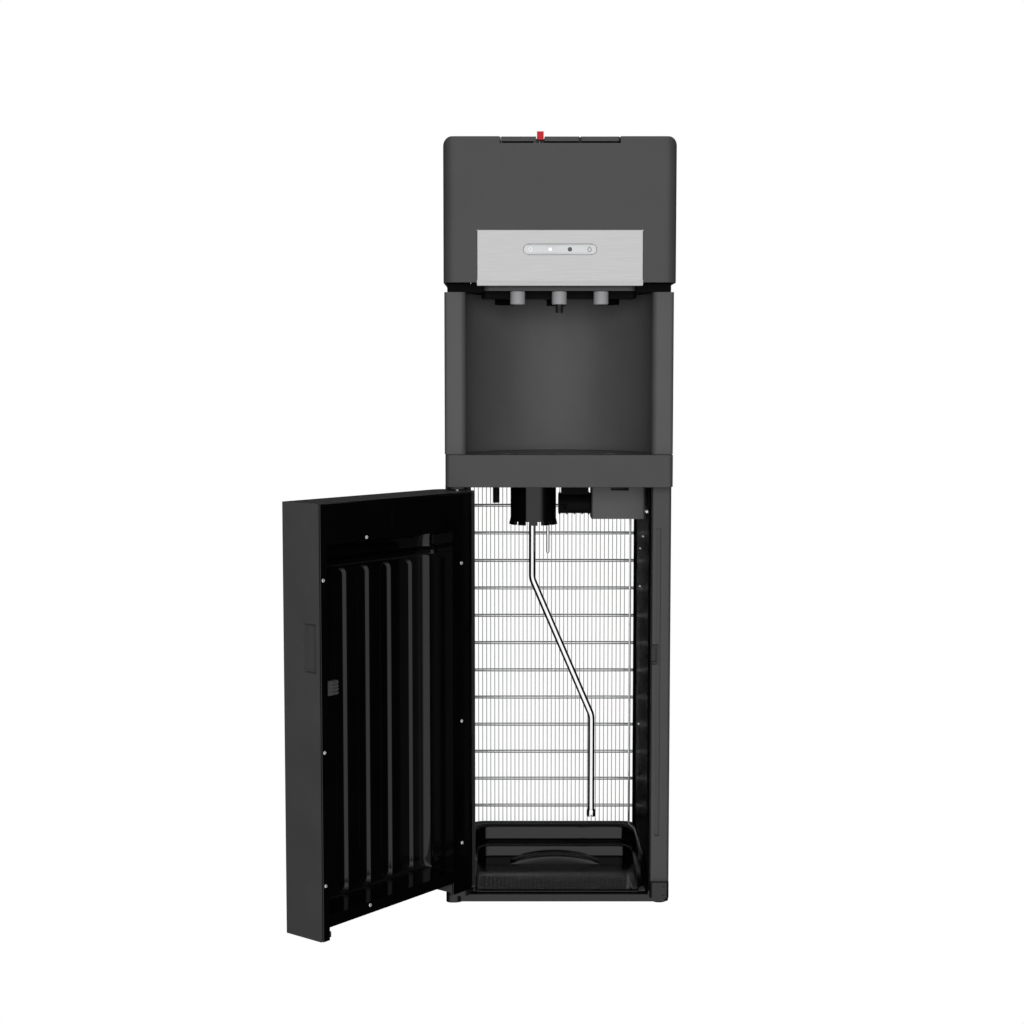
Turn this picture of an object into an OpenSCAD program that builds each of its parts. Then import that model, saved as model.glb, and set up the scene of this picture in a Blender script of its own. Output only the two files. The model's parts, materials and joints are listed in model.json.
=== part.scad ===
// Floor-standing water dispenser with a bottom bottle compartment.
// Millimetres. X runs left to right, Y runs front to back, Z is up from the floor.
// The origin is on the floor under the middle of the cabinet. The door rests open.

/* [Cabinet] */
// Width of the cabinet
body_w = 310; // [300:1:320]
// Total height from the floor to the top of the head
body_h = 1048; // [1040:1:1060]
// Front plane of the head, measured from the cabinet's middle
head_front = 170; // [165:1:175]
// Back plane of the cabinet, measured from its middle
back_y = 168; // [166:1:172]
// Height of the feet under the base
foot_h = 2; // [2:1:6]

/* [Lower compartment] */
// Front plane of the lower frame, measured from the cabinet's middle
frame_front = 118; // [117:1:118]
// Width of one front pillar
pillar_w = 26; // [24:1:28]
// Underside of the drip shelf
shelf_z = 584; // [582:1:588]
// Height of the drip shelf
shelf_h = 43; // [40:1:46]

/* [Door] */
// Width of the door
door_w = 305; // [303:1:306]
// Thickness of the door
door_t = 65; // [64:1:66]
// Lower edge of the door
door_z0 = 34.5; // [34:0.5:36]
// Upper edge of the door
door_z1 = 579; // [576:1:580]
// Depth of the hollow in the door's inner side
dish_depth = 50; // [44:1:52]
// Angle at which the door stands open
door_open = 128.45; // [90:0.05:128.45]

/* [Head] */
// Underside of the head
head_z = 857; // [855:1:860]
// Spacing of the three water nozzles
nozzle_pitch = 56; // [54:1:60]
// Diameter of a water nozzle
nozzle_d = 20; // [18:1:22]
// Width of one push button
button_w = 52.5; // [50:0.5:52.5]
// Width of the metal control panel
panel_w = 220; // [210:1:230]

/* [Condenser] */
// Rows of tube on the condenser
tube_rows = 12; // [8:1:12]
// Height between two rows of tube
tube_pitch = 42.4; // [42:0.1:43]
// Distance between two wires of the condenser
wire_pitch = 6.22; // [6:0.01:12]

/* [Hidden] */
$fn = 48;
eps = 0.01;
half_w = body_w / 2;
wall = 3;
sheet = 1.2;
base_top = 17;
alcove_z = shelf_z + shelf_h;
alcove_top = 846;
pillar_x = half_w - pillar_w;

// door, drawn closed and then turned open about its hinge axis
hinge_x = -137.6;
hinge_y = -145.7;
door_gap = 1.5;
door_in_y = -frame_front - door_gap;
door_out_y = door_in_y - door_t;
door_x0 = -152;
door_x1 = door_x0 + door_w;
door_notch = 16.2;
door_flange = 13;
dish_x0 = -102.6;
dish_x1 = door_x1 - door_flange;
dish_z0 = 66;
dish_z1 = 527;
liner_t = 2.5;
groove_pitch = 42;
groove_w = 18.7;
groove_d = 3.5;
groove_z = [69, 490];
catch_z = 350;

// arched stop on the pan
hood_half = 66;
hood_h = 12;
hood_y = 23;
hood_d = 28;

// the alcove is part of a cylinder seen from its axis
alcove_half = 125;
alcove_back = 15;
front_mid = -135;
alcove_sag = alcove_back - front_mid;
alcove_r = (alcove_half * alcove_half + alcove_sag * alcove_sag) / (2 * alcove_sag);
alcove_cy = alcove_back - alcove_r;

nozzle_y = -139;
drain_y = -106;
probe_x = -35;
probe_y = -35;
probe_low_x = 50;
probe_d = 9.3;
collar_x = -33.5;
rod_x = -12.7;
button_y0 = -169;
button_y1 = -102;
button_pin_z = 1037;
button_h = 6.2;
button_pin_y = -106;
tray_lift_y0 = -140;
tray_lift_y1 = -71;
tray_lift_x = 106;
cond_y = 156;
cond_x = 134;
tube_d = 4.8;
wire_d = 1.4;
row0_z = 69.1;
wire_x1 = 108.9;
window_z = 900.2;
band_z = 846.2;

// ---------- shared shapes ----------

// a box given by its two corners
module span(x0, x1, y0, y1, z0, z1) {
    translate([x0, y0, z0]) cube([x1 - x0, y1 - y0, z1 - z0]);
}

// what a rounded corner takes off a square one
module corner_cut(r) {
    difference() {
        translate([-1, -1]) square([r + 1, r + 1]);
        translate([r, r]) circle(r);
    }
}

// rectangle whose four corner radii run anticlockwise from the lower left one
module rounded_rect(x0, x1, y0, y1, radii) {
    corners = [[x0, y0], [x1, y0], [x1, y1], [x0, y1]];
    difference() {
        translate([x0, y0]) square([x1 - x0, y1 - y0]);
        for (i = [0:3])
            if (radii[i] > 0) translate(corners[i]) rotate(90 * i) corner_cut(radii[i]);
    }
}

// upright block with rounded vertical edges
module rounded_block(x0, x1, y0, y1, z0, z1, radii) {
    translate([0, 0, z0]) linear_extrude(z1 - z0) rounded_rect(x0, x1, y0, y1, radii);
}

// upright round bar or disc
module post(x, y, z0, z1, r) {
    translate([x, y, z0]) cylinder(h = z1 - z0, r = r);
}

// round bar along Y
module bar_y(x, z, y0, y1, r) {
    translate([x, y0, z]) rotate([-90, 0, 0]) cylinder(h = y1 - y0, r = r);
}

// round bar along X
module bar_x(y, z, x0, x1, r) {
    translate([x0, y, z]) rotate([0, 90, 0]) cylinder(h = x1 - x0, r = r);
}

// flat slot with round ends in the X-Z plane, cut along Y
module slot_y(x, z, w, h, y0, y1) {
    translate([0, y1, 0]) rotate([90, 0, 0]) linear_extrude(y1 - y0)
        rounded_rect(x - w / 2, x + w / 2, z - h / 2, z + h / 2, [1, 1, 1, 1] * (min(w, h) / 2 - eps));
}

// puts a shape drawn on the closed door at the open rest pose
module door_pose() {
    translate([hinge_x, hinge_y, 0]) rotate(-door_open) translate([-hinge_x, -hinge_y, 0]) children();
}

// ---------- base and lower compartment ----------

foot_spots = [[-142, -106], [142, -106], [-142, 150], [142, 150]];

module base_frame() {
    color("#1d1d1f") difference() {
        rounded_block(-half_w, half_w, -frame_front, back_y, foot_h, base_top, [9, 9, 4, 4]);
        span(-126, 126, -frame_front - 1, 135, 12, base_top + 1);
        for (s = [-1, 1]) span(s * 142 - 9, s * 142 + 9, -92, 134, foot_h - 1, base_top - wall);
        for (p = foot_spots) post(p[0], p[1], foot_h - 1, foot_h + 7, 4);
    }
}

module feet() {
    color("#101012") for (p = foot_spots) {
        post(p[0], p[1], 0, foot_h, 10);
        post(p[0], p[1], foot_h - eps, foot_h + 6, 3.9);
    }
}

// moulded drip pan under the bottle: a flat floor, a low step and a raised rear shelf
module bottle_tray() {
    color("#0c0c0e") difference() {
        union() {
            span(-125.6, 125.6, -frame_front + 8.4, 134.6, 12, 14.4);
            span(-125.6, 125.6, 66, 125, 14, 30);
            span(-125.6, 125.6, 102, 125, 14, 50);
            for (s = [-1, 1]) tray_side(s);
            tray_hood();
        }
        span(-118, 118, 105, 122, 11, 47);
        span(-112, 112, 70, 98, 11, 27);
    }
}

// raised rim along one side that falls away towards the front
module tray_side(s) {
    x_in = s > 0 ? 113 : -125.6;
    translate([x_in, 0, 0]) rotate([90, 0, 90]) linear_extrude(12.6)
        polygon([[-100, 14], [66, 14], [104, 14], [104, 50], [-40, 50], [-75, 34], [-100, 17]]);
}

// low arched stop across the floor behind the bottle's foot
module tray_hood() {
    r = (hood_half * hood_half + hood_h * hood_h) / (2 * hood_h);
    translate([0, hood_y + hood_d, 14.4 + hood_h - r]) rotate([90, 0, 0]) linear_extrude(hood_d)
        intersection() {
            circle(r, $fn = 192);
            translate([-hood_half, r - hood_h - 0.3]) square([2 * hood_half, hood_h + 1]);
        }
}

module side_panel(s) {
    color("#232326") union() {
        x0 = s > 0 ? half_w - sheet : -half_w;
        span(x0, x0 + sheet, -90, back_y, base_top, alcove_top - 0.2);
        fx = s > 0 ? 128.6 : -half_w;
        span(fx, fx + half_w - 128.6, back_y - sheet, back_y, base_top, alcove_top - 0.2);
    }
}

module left_side_panel() side_panel(-1);
module right_side_panel() side_panel(1);

// two hollow pillars joined by a header under the shelf
module lower_front_frame() {
    color("#37373a") difference() {
        union() {
            for (s = [-1, 1]) {
                x0 = s > 0 ? pillar_x : -half_w;
                rad = s > 0 ? [2, 5, 0, 0] : [5, 2, 0, 0];
                rounded_block(x0, x0 + pillar_w, -frame_front, -90, base_top, shelf_z - 0.2, rad);
            }
            span(-pillar_x, pillar_x, -frame_front + 6, -90, shelf_z - 3.4, shelf_z - 0.2);
        }
        for (s = [-1, 1]) {
            x0 = s > 0 ? pillar_x + 2.5 : -half_w + 2.5;
            span(x0, x0 + pillar_w - 5, -frame_front + 8, -89, base_top - 1, shelf_z - 10);
            x1 = s > 0 ? pillar_x + 5.5 : -pillar_x - 12;
            span(x1, x1 + 6.5, -frame_front - 1, -frame_front + 4, 95, 525);
        }
        // seat of the catch's keeper
        span(pillar_x - 1, pillar_x + 9, -frame_front - 1, -frame_front + 6, catch_z - 14, catch_z + 14);
    }
}

// screws of one liner: place along Y, height and radius of the head
liner_screw_spots = [[-76, 545, 3.4], [0, 503, 2], [53, 480, 2], [53, 424, 2], [63, 216, 2]];

liner_y1 = 150;

// glossy moulded wall of the bottle compartment; the right one has a flange beside the condenser
module liner(s) {
    x0 = s > 0 ? 126 : -128.5;
    color("#0b0b0d") difference() {
        union() {
            span(x0, x0 + 2.5, -frame_front + 28.4, liner_y1, base_top, shelf_z - 0.4);
            if (s > 0) span(x0 - 3.8, x0 + 0.1, liner_y1 - 2.4, liner_y1, base_top, shelf_z - 0.4);
        }
        for (z = [80:90:500]) span(x0 - 1, x0 + 4, 130, 142, z, z + 40);
        for (p = liner_screw_spots) bar_x(p[0], p[1], x0 - 1, x0 + 4, 1.05);
    }
}

module left_liner() liner(-1);
module right_liner() liner(1);

module cabinet_screws() {
    color("#c9c9cc") {
        for (s = [-1, 1], p = liner_screw_spots)
            translate([s * 125.9, p[0], p[1]]) rotate([0, s > 0 ? -90 : 90, 0]) {
                cylinder(h = 1.1, r = p[2]);
                translate([0, 0, -2.4]) cylinder(h = 2.5, r = 1);
            }
        for (x = [-118, 118], z = [625, 760, 900, 1015])
            translate([x, back_y + eps, z]) rotate([-90, 0, 0]) cylinder(h = 1.4, r = 3.2);
    }
}

// block at the pillar's foot that the closed door's corner stands over
module door_stop() {
    color("#18181a") difference() {
        rounded_block(half_w - 27, half_w - 0.5, -frame_front - 8, -frame_front - 0.1, 9, 31, [5, 5, 0, 0]);
        for (z = [14, 26]) bar_y(half_w - 8, z, -frame_front - 9, -frame_front - 6.5, 1.6);
    }
}

// bracket that carries the lower hinge pin in front of the pillar's foot
module lower_hinge_bracket() {
    color("#1b1b1d") difference() {
        union() {
            rounded_block(-half_w + 1, -121, hinge_y - 12, -frame_front - 0.1, 22, 31, [11, 11, 0, 0]);
            rounded_block(-half_w + 1, -134, hinge_y - 11, -frame_front - 0.1, 12.5, 22.1, [8, 8, 0, 0]);
        }
        post(hinge_x, hinge_y, 14, 32, 4.02);
    }
}

// plate screwed under the shelf that carries the upper hinge pin
module upper_hinge_bracket() {
    color("#2a2a2c") difference() {
        rounded_block(-half_w + 4, -124, hinge_y - 9, -frame_front - 0.1, shelf_z - 3.2, shelf_z - 0.1, [9, 9, 0, 0]);
        post(hinge_x, hinge_y, shelf_z - 4, shelf_z + 1, 4.02);
    }
}

module hinge_pins() {
    color("silver") {
        post(hinge_x, hinge_y, 14.1, door_z0 + 11, 4);
        post(hinge_x, hinge_y, door_z1 - 12, shelf_z - 0.1, 4);
    }
}

// keeper that the door's roller catch snaps into
module catch_strike() {
    color("#1a1a1c") difference() {
        span(pillar_x + 0.1, pillar_x + 8.9, -frame_front + 0.2, -frame_front + 5.8, catch_z - 13, catch_z + 13);
        span(pillar_x - 1, pillar_x + 6.5, -frame_front - 1, -frame_front + 3.5, catch_z - 10, catch_z + 10);
    }
}

// steel floor of the machine space above the bottle
module deck_plate() {
    color("#3a3a3d") difference() {
        span(-128, 128, -88, back_y - 2, shelf_z + 0.2, shelf_z + 3.2);
        post(collar_x, probe_y, shelf_z - 1, shelf_z + 4, 33.5);
        for (x = [-86, 14, 36]) post(x, probe_y, shelf_z - 1, shelf_z + 4, 5.1);
    }
}

// ---------- drip shelf and alcove ----------

module drip_shelf() {
    color("#4a4a4c") difference() {
        union() {
            rounded_block(-half_w + 1.5, half_w - 1.5, -155, -90, shelf_z, alcove_z, [7, 7, 0, 0]);
            span(-128, 128, -90.1, 24, shelf_z + 3.4, alcove_z);
        }
        // hollow underside, lower in front to leave the floor of the tray's well
        rounded_block(-half_w + 4.5, half_w - 4.5, -152, -90, shelf_z - 1, alcove_z - 27, [5, 5, 0, 0]);
        span(-125, 125, -90.1, -67, shelf_z - 1, alcove_z - 27);
        span(-125, 125, -67.1, 21, shelf_z - 1, alcove_z - wall);
        // well for the drip tray
        rounded_block(-tray_lift_x, tray_lift_x, tray_lift_y0, tray_lift_y1, alcove_z - 24, alcove_z + 1,
            [8, 8, 8, 8]);
    }
}

module drip_tray() {
    c = 0.5;
    color("#151517") difference() {
        rounded_block(-tray_lift_x + c, tray_lift_x - c, tray_lift_y0 + c, tray_lift_y1 - c,
            alcove_z - 23.6, alcove_z - 3.2, [7.5, 7.5, 7.5, 7.5]);
        rounded_block(-tray_lift_x + 2.5, tray_lift_x - 2.5, tray_lift_y0 + 2.5, tray_lift_y1 - 2.5,
            alcove_z - 21.6, alcove_z, [5.5, 5.5, 5.5, 5.5]);
    }
}

// flat cover of the drip tray with three drains
module drip_grille() {
    c = 0.5;
    color("#3f3f42") difference() {
        rounded_block(-tray_lift_x + c, tray_lift_x - c, tray_lift_y0 + c, tray_lift_y1 - c,
            alcove_z - 2.8, alcove_z, [7.5, 7.5, 7.5, 7.5]);
        for (x = [-70, 0, 70]) {
            post(x, drain_y, alcove_z - 1.4, alcove_z + 1, 13);
            for (k = [-2:2]) span(x - 9 + abs(k) * 1.6, x + 9 - abs(k) * 1.6,
                drain_y - 1 + k * 4.4, drain_y + 1 + k * 4.4, alcove_z - 4, alcove_z);
        }
    }
}

// concave back wall with the two mid-height pillars
module alcove_panel() {
    color("#434346") difference() {
        translate([0, 0, alcove_z + 0.2]) linear_extrude(alcove_top - alcove_z - 0.4) alcove_plan();
        pipe_slots();
    }
}

// two pillars joined by a 3 mm wall along the alcove's arc
module alcove_plan() {
    difference() {
        union() {
            rounded_rect(-half_w, half_w, front_mid, -90.2, [5, 5, 0, 0]);
            translate([-half_w + 1.6, -90.3]) square([body_w - 3.2, alcove_back + 3 + 90.3]);
        }
        translate([0, alcove_cy]) circle(alcove_r, $fn = 128);
        difference() {
            translate([-half_w + 4, front_mid + 3]) square([body_w - 8, 200]);
            translate([0, alcove_cy]) circle(alcove_r + 3, $fn = 128);
        }
    }
}

// slots near the top of the alcove's wall
module pipe_slots() {
    for (x = [-74, 0, 74]) span(x - 14, x + 14, -30, alcove_back + 10, 833, 842.7);
}

// ---------- nozzles ----------

nozzle_x = [-nozzle_pitch, 0, nozzle_pitch];

// neck under the head, the band that holds the nozzles and the rim that hangs behind them
module nozzle_housing() {
    color("#222224") difference() {
        union() {
            span(-half_w + 4, half_w - 4, -131, 160, alcove_top + 0.2, head_z - 0.2);
            rounded_block(-101, 101, -150, -84, band_z, head_z - 0.2, [9, 9, 9, 9]);
            rounded_block(-105, 105, -128, -84, 838, band_z + 0.1, [9, 9, 9, 9]);
        }
        span(-half_w + 7, half_w - 7, -80, 157, alcove_top - 1, head_z + 1);
        rounded_block(-98, 98, -147, -87, band_z + 3, head_z + 1, [6, 6, 6, 6]);
        rounded_block(-102, 102, -125, -87, 841, band_z + 0.2, [6, 6, 6, 6]);
        span(-96, 96, -123, -89, band_z, band_z + 4);
        for (x = nozzle_x) post(x, nozzle_y, band_z - 1, band_z + 4, nozzle_d / 2 + 0.2);
    }
}

module nozzle(x) {
    difference() {
        union() {
            post(x, nozzle_y, 828.8, 850, nozzle_d / 2);
            post(x, nozzle_y, 849.9, 866, 5);
        }
        post(x, nozzle_y, 827, 846, 6);
        post(x, nozzle_y, 845, 867, 3);
    }
}

module hot_nozzle() color("#8a8a8c") nozzle(nozzle_x[0]);
module room_nozzle() color("#8a8a8c") nozzle(nozzle_x[1]);
module cold_nozzle() color("#8a8a8c") nozzle(nozzle_x[2]);

module spout_insert() {
    color("#161618") difference() {
        post(0, nozzle_y, 818, 844, 5);
        post(0, nozzle_y, 817, 845, 3.2);
        span(-1, 1, nozzle_y - 6, nozzle_y + 6, 817, 826);
    }
}

// ---------- head ----------

// outer form of the head, drawn in by some distance
module head_form(inset) {
    intersection() {
        rounded_block(-half_w + inset, half_w - inset, -head_front + inset, head_front - inset,
            head_z - 10, body_h + 10, [16 - inset, 16 - inset, 6, 6]);
        translate([0, head_front, 0]) rotate([90, 0, 0]) linear_extrude(2 * head_front)
            rounded_rect(-half_w + inset, half_w - inset, head_z - 5, body_h - inset,
                [0, 0, 12 - inset, 12 - inset]);
    }
}

bay_x = 1.5 * button_w + 1;
bay_z = body_h - button_h - 2.6;

module head_shell() {
    color("#4d4d50") union() {
        difference() {
            intersection() {
                head_form(0);
                span(-200, 200, -200, 200, head_z, body_h + 1);
            }
            intersection() {
                head_form(wall);
                span(-200, 200, -200, 200, head_z - 1, body_h + 1);
            }
            rounded_block(-141, 141, -96, 156, body_h - 5, body_h + 1, [6, 6, 6, 6]);
            // bay of the buttons, with a step 8 mm behind its front
            span(-bay_x, bay_x, -head_front - 1, -162, bay_z, body_h + 1);
            span(-bay_x + 1.3, bay_x - 1.3, -162.1, -95, bay_z, body_h + 1);
            // back opening closed by the back panel
            span(-126.5, 126.5, head_front - 5, head_front + 1, head_z - 1, 1031);
            // seat of the control panel's clips
            for (x = [-90, 90]) bar_y(x, 890, -head_front - 1, -head_front + 4, 3.1);
        }
        // fins between the buttons; the left one stands behind the child lock
        span(button_w / 2 - 0.4, button_w / 2 + 0.4, -164, -150, bay_z - 6, body_h - 0.6);
        span(button_w / 2 - 0.4, button_w / 2 + 0.4, -168, -150, bay_z - 6, bay_z - 0.1);
        span(-button_w / 2 - 0.4, -button_w / 2 + 0.4, -145, -135, bay_z - 6, body_h - 0.6);
        span(-button_w / 2 - 0.4, -button_w / 2 + 0.4, -168, -135, bay_z - 6, bay_z - 0.1);
    }
}

module top_cover() {
    color("#1f1f21") difference() {
        union() {
            rounded_block(-140.6, 140.6, -94.6, 155.6, body_h - 2.8, body_h - 0.4, [5.6, 5.6, 5.6, 5.6]);
            rounded_block(-136, 136, -92, 151, body_h - 6, body_h - 2.7, [4, 4, 4, 4]);
        }
        rounded_block(-133, 133, -90, 148, body_h - 7, body_h - 2.8, [3, 3, 3, 3]);
    }
}

// brushed metal fascia with a long round-ended window
module control_panel() {
    color("silver") {
        difference() {
            span(-panel_w / 2, panel_w / 2, -head_front - 2, -head_front - 0.05, 852.5, 926);
            slot_y(0, window_z, 97, 14, -head_front - 3, -head_front + 1);
        }
        for (x = [-90, 90]) bar_y(x, 890, -head_front - 0.2, -head_front + 3.5, 3);
    }
}

module indicator_window() {
    color("#b9bcc0") slot_y(0, window_z, 96.8, 13.8, -head_front - 1.4, -head_front - 0.1);
}

light_x = [-39, -13, 13, 39];

module indicator_lights() {
    color("#e8e8ea") for (x = light_x) bar_y(x, window_z, -head_front + 3.2, -head_front + 7, 2.4);
}

module control_board() {
    color("#1e5b34") {
        span(-70, 70, -head_front + 7.1, -head_front + 8.7, 875, 925);
        for (x = [-50, -20, 12, 40]) span(x - 7, x + 7, -head_front + 8.8, -head_front + 14, 882, 892);
    }
}

// long pin that all three buttons turn on
module button_pin() {
    color("silver") bar_x(button_pin_y, button_pin_z, -bay_x - 3, bay_x + 3, 2);
}

button_x = [-button_w, 0, button_w];

module micro_switches() {
    color("#2b2b2e") for (x = button_x) {
        span(x - 10, x + 10, -150, -142, 1016, 1031);
        bar_x(-146, 1031.6, x - 3, x + 3, 1);
        span(x - 14, x + 14, -142.1, -139, 1010, 1026);
    }
}

// a lever whose front lip laps over the head's front edge
module button(x, lock_side) {
    difference() {
        union() {
            rounded_block(x - button_w / 2 + 0.7, x + button_w / 2 - 0.7, button_y0, button_y1,
                body_h - button_h, body_h - 0.3, [2, 2, 1, 1]);
            span(x - button_w / 2 + 4, x + button_w / 2 - 4, button_pin_y - 3.6, button_pin_y + 3.6,
                button_pin_z - 4, body_h - 4);
            span(x - 4, x + 4, -148, -144, 1034.4, body_h - 4);
        }
        bar_x(button_pin_y, button_pin_z, x - button_w, x + button_w, 2.05);
        if (lock_side != 0)
            span(x + lock_side * button_w / 2 - 5.6, x + lock_side * button_w / 2 + 5.6,
                button_y0 - 1, -146, body_h - button_h - 1, body_h + 1);
    }
}

module hot_button() {
    color("#474749") union() {
        button(button_x[0], 1);
        // rail under the child lock
        span(-button_w / 2 - 9, -button_w / 2 - 5, -165.5, -146.5, bay_z, body_h - button_h + 0.1);
    }
}
module room_button() color("#474749") button(button_x[1], -1);
module cold_button() color("#474749") button(button_x[2], 0);

// red tab that has to be pushed back before hot water runs
module child_lock() {
    color("#cc333b") difference() {
        translate([-button_w / 2 - 4.4, 0, 0]) {
            rounded_block(0, 8.8, -168.4, -156, body_h - 4.2, body_h, [1, 1, 1, 1]);
            rounded_block(0, 8.8, -168.4, -164, body_h - 4.2, body_h + 6.5, [1, 1, 1, 1]);
        }
    }
}

// ---------- back ----------

module back_panel() {
    color("#28282b") difference() {
        span(-126, 126, back_y - sheet, back_y, 596, 1030);
        for (z = [640:14:780], x = [-80, 0, 80]) slot_y(x, z, 60, 5, back_y - 3, back_y + 1);
        span(-61, -39, back_y - 3, back_y + 1, 964, 994);
        span(-31, -9, back_y - 3, back_y + 1, 964, 994);
        slot_y(70, 880, 30, 22, back_y - 3, back_y + 1);
        bar_y(70, 920, back_y - 3, back_y + 1, 9);
    }
}

// see-saw switch on a pivot across the back panel's window
module rocker(x) {
    difference() {
        translate([x, back_y - 2, 979]) rotate([8, 0, 0]) difference() {
            translate([-9.6, -6, -13]) cube([19.2, 10, 26]);
            translate([0, 34, 0]) rotate([0, 90, 0]) cylinder(h = 40, r = 32, center = true);
        }
        bar_x(back_y - 5, 979, x - 20, x + 20, 1.5);
    }
}

module hot_rocker() color("#b3262b") rocker(-50);
module cold_rocker() color("#2c6e3f") rocker(-20);

module power_inlet() {
    color("#141416") difference() {
        slot_y(70, 880, 29.6, 21.6, back_y - 24, back_y + 2.5);
        slot_y(70, 880, 24, 16.5, back_y - 12, back_y + 3);
    }
}

module drain_cap() {
    color("#dcdcde") {
        bar_y(70, 920, back_y - 14, back_y + 0.4, 8.9);
        difference() {
            bar_y(70, 920, back_y + 0.3, back_y + 12, 12);
            for (a = [0:30:330])
                translate([70 + 13 * cos(a), back_y + 6, 920 + 13 * sin(a)]) rotate([90, 0, 0])
                    cylinder(h = 14, r = 1.8, center = true, $fn = 24);
        }
    }
}

// a quarter bend of the condenser tube in the X-Z plane
module tube_bend(x, z, from) {
    translate([x, cond_y, z]) rotate([90, 0, 0]) rotate([0, 0, from])
        rotate_extrude(angle = 90) translate([7, 0]) circle(d = tube_d, $fn = 24);
}

// serpentine: straight rows joined at alternate ends
module condenser_tube() {
    color("#1b1b1d") for (i = [0:tube_rows - 1]) {
        z = row0_z + i * tube_pitch;
        e = i % 2 == 0 ? 1 : -1;
        bar_x(cond_y, z, -cond_x + 7, cond_x - 7, tube_d / 2);
        if (i < tube_rows - 1) {
            tube_bend(e * (cond_x - 7), z + 7, e > 0 ? 270 : 180);
            tube_bend(e * (cond_x - 7), z + tube_pitch - 7, e > 0 ? 0 : 90);
            post(e * cond_x, cond_y, z + 7, z + tube_pitch - 7, tube_d / 2);
        }
    }
}

// upright wires in front of the rows, and one flat strap beside the last of them
module condenser_wires() {
    wire_y = cond_y - (tube_d + wire_d) / 2 - 0.02;
    color("#303033") {
        for (i = [0:38]) translate([wire_x1 - i * wire_pitch, wire_y, 36]) cylinder(h = 536, d = wire_d, $fn = 16);
        span(115.6, 119, wire_y - wire_d / 2, wire_y + wire_d / 2, 36, 572);
    }
}

// ---------- machinery inside ----------

module compressor() {
    color("#131315") translate([40, 90, 0]) {
        difference() {
            union() {
                translate([0, 0, 602]) cylinder(h = 108, r = 56);
                translate([0, 0, 710]) intersection() {
                    translate([0, 0, -20]) sphere(r = 59.4);
                    translate([-60, -60, -0.1]) cube([120, 120, 60]);
                }
            }
            translate([0, 0, 606]) cylinder(h = 100, r = 52);
        }
        for (s = [-1, 1]) {
            span(s * 60 - 16, s * 60 + 16, -14, 14, 598, 602);
            post(s * 66, 0, shelf_z + 3.3, 598, 7);
        }
        bar_y(-30, 640, -66, -48, 3);
    }
}

module cold_tank() {
    color("#c4c6c9") difference() {
        post(52, 40, 880, 1010, 48);
        post(52, 40, 881.5, 1008.5, 46.5);
    }
}

module evaporator_coil() {
    color("#b5713c") for (i = [0:9])
        translate([52, 40, 892 + i * 10]) rotate_extrude() translate([51.2, 0]) circle(r = 3, $fn = 24);
}

module tank_insulation() {
    color("#e9e6dc") difference() {
        rounded_block(52 - 70, 52 + 70, 40 - 70, 40 + 70, 866, 1024, [30, 30, 30, 30]);
        post(52, 40, 879.5, 1010.5, 54.8);
    }
}

module hot_tank() {
    color("#c4c6c9") {
        difference() {
            post(-82, 40, 890, 1000, 42);
            post(-82, 40, 891.5, 998.5, 40.5);
        }
        difference() {
            post(-82, 40, 915, 945, 46);
            post(-82, 40, 914, 946, 42.2);
        }
        post(-82, 40, 866, 889.9, 14);
    }
}

// pipes that feed the three nozzles
module water_pipes() {
    color("#d8dadd") {
        nozzle_pipe(nozzle_x[0], -82);
        nozzle_pipe(nozzle_x[1], -22.6);
        nozzle_pipe(nozzle_x[2], 52);
    }
}

// rises from a nozzle and runs back beside a tank
module nozzle_pipe(x, tank_x) {
    post(x, nozzle_y, 866.1, 878, 4);
    translate([x, nozzle_y, 878]) sphere(r = 4);
    bar_y(x, 878, nozzle_y, -34, 4);
}

// ---------- pump and probe ----------

module pump_motor() {
    color("#0e0e10") {
        bar_x(probe_y, 553.5, 2, 47.6, 14.5);
        for (x = [3, 13, 24, 35, 44]) bar_x(probe_y, 553.5, x, x + 2, 16);
        span(6, 44, probe_y - 9, probe_y + 9, 566, shelf_z + 0.1);
        difference() {
            bar_y(10, 548, probe_y - 24, probe_y - 10, 4.5);
            bar_y(10, 548, probe_y - 25, probe_y - 16, 2.6);
        }
    }
}

module pump_box() {
    color("#58585b") difference() {
        rounded_block(48, 123, -62, -10, 533, shelf_z + 0.1, [3, 3, 3, 3]);
        rounded_block(50, 121, -60, -12, 535, shelf_z + 1, [2, 2, 2, 2]);
        span(75, 100, -63, -58, 573, shelf_z + 1);
    }
}

// hoses between the compartment's roof and the machine space
module pump_hoses() {
    color("#131315") {
        bent_hose(-86, 554, 9.4, 6.2);
        bent_hose(14, shelf_z + 0.3, 8.4, 5.2);
        bent_hose(36, shelf_z + 0.3, 8.4, 5.2);
        // wider sleeve that the probe's own hose slides in
        bent_hose(probe_x, shelf_z + 14, 12.4, 9.8);
    }
}

// comes up from below, bends back under the drip shelf and rises behind the alcove
module bent_hose(x, z0, od, id) {
    top = alcove_z - 10.5;
    r = 12;
    path = concat([[x, probe_y, z0], [x, probe_y, top - r]],
        [for (a = [22.5:22.5:90]) [x, probe_y + r - r * cos(a), top - r + r * sin(a)]],
        [[x, 6, top]]);
    difference() {
        swept_tube(path, od, 12);
        swept_tube(concat([path[0] - [0, 0, 1]], path, [[x, 7, top]]), id, 12);
    }
}

// black cup that hangs from the roof and closes the bottle's neck
module probe_collar() {
    color("#0d0d0f") difference() {
        union() {
            post(collar_x, probe_y, 534, shelf_z - 1, 32);
            translate([collar_x, probe_y, 524]) cylinder(h = 10.1, r1 = 34.3, r2 = 32);
        }
        post(collar_x, probe_y, 523, shelf_z - 5, 29);
        for (a = [0:30:330]) translate([collar_x, probe_y, 523]) rotate(a + 15)
            translate([28, -3, -1]) cube([9, 6, 7]);
        post(probe_x, probe_y, shelf_z - 6, shelf_z + 1, probe_d / 2 + 0.1);
        post(rod_x, probe_y, shelf_z - 6, shelf_z + 1, 2.45);
    }
}

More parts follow.
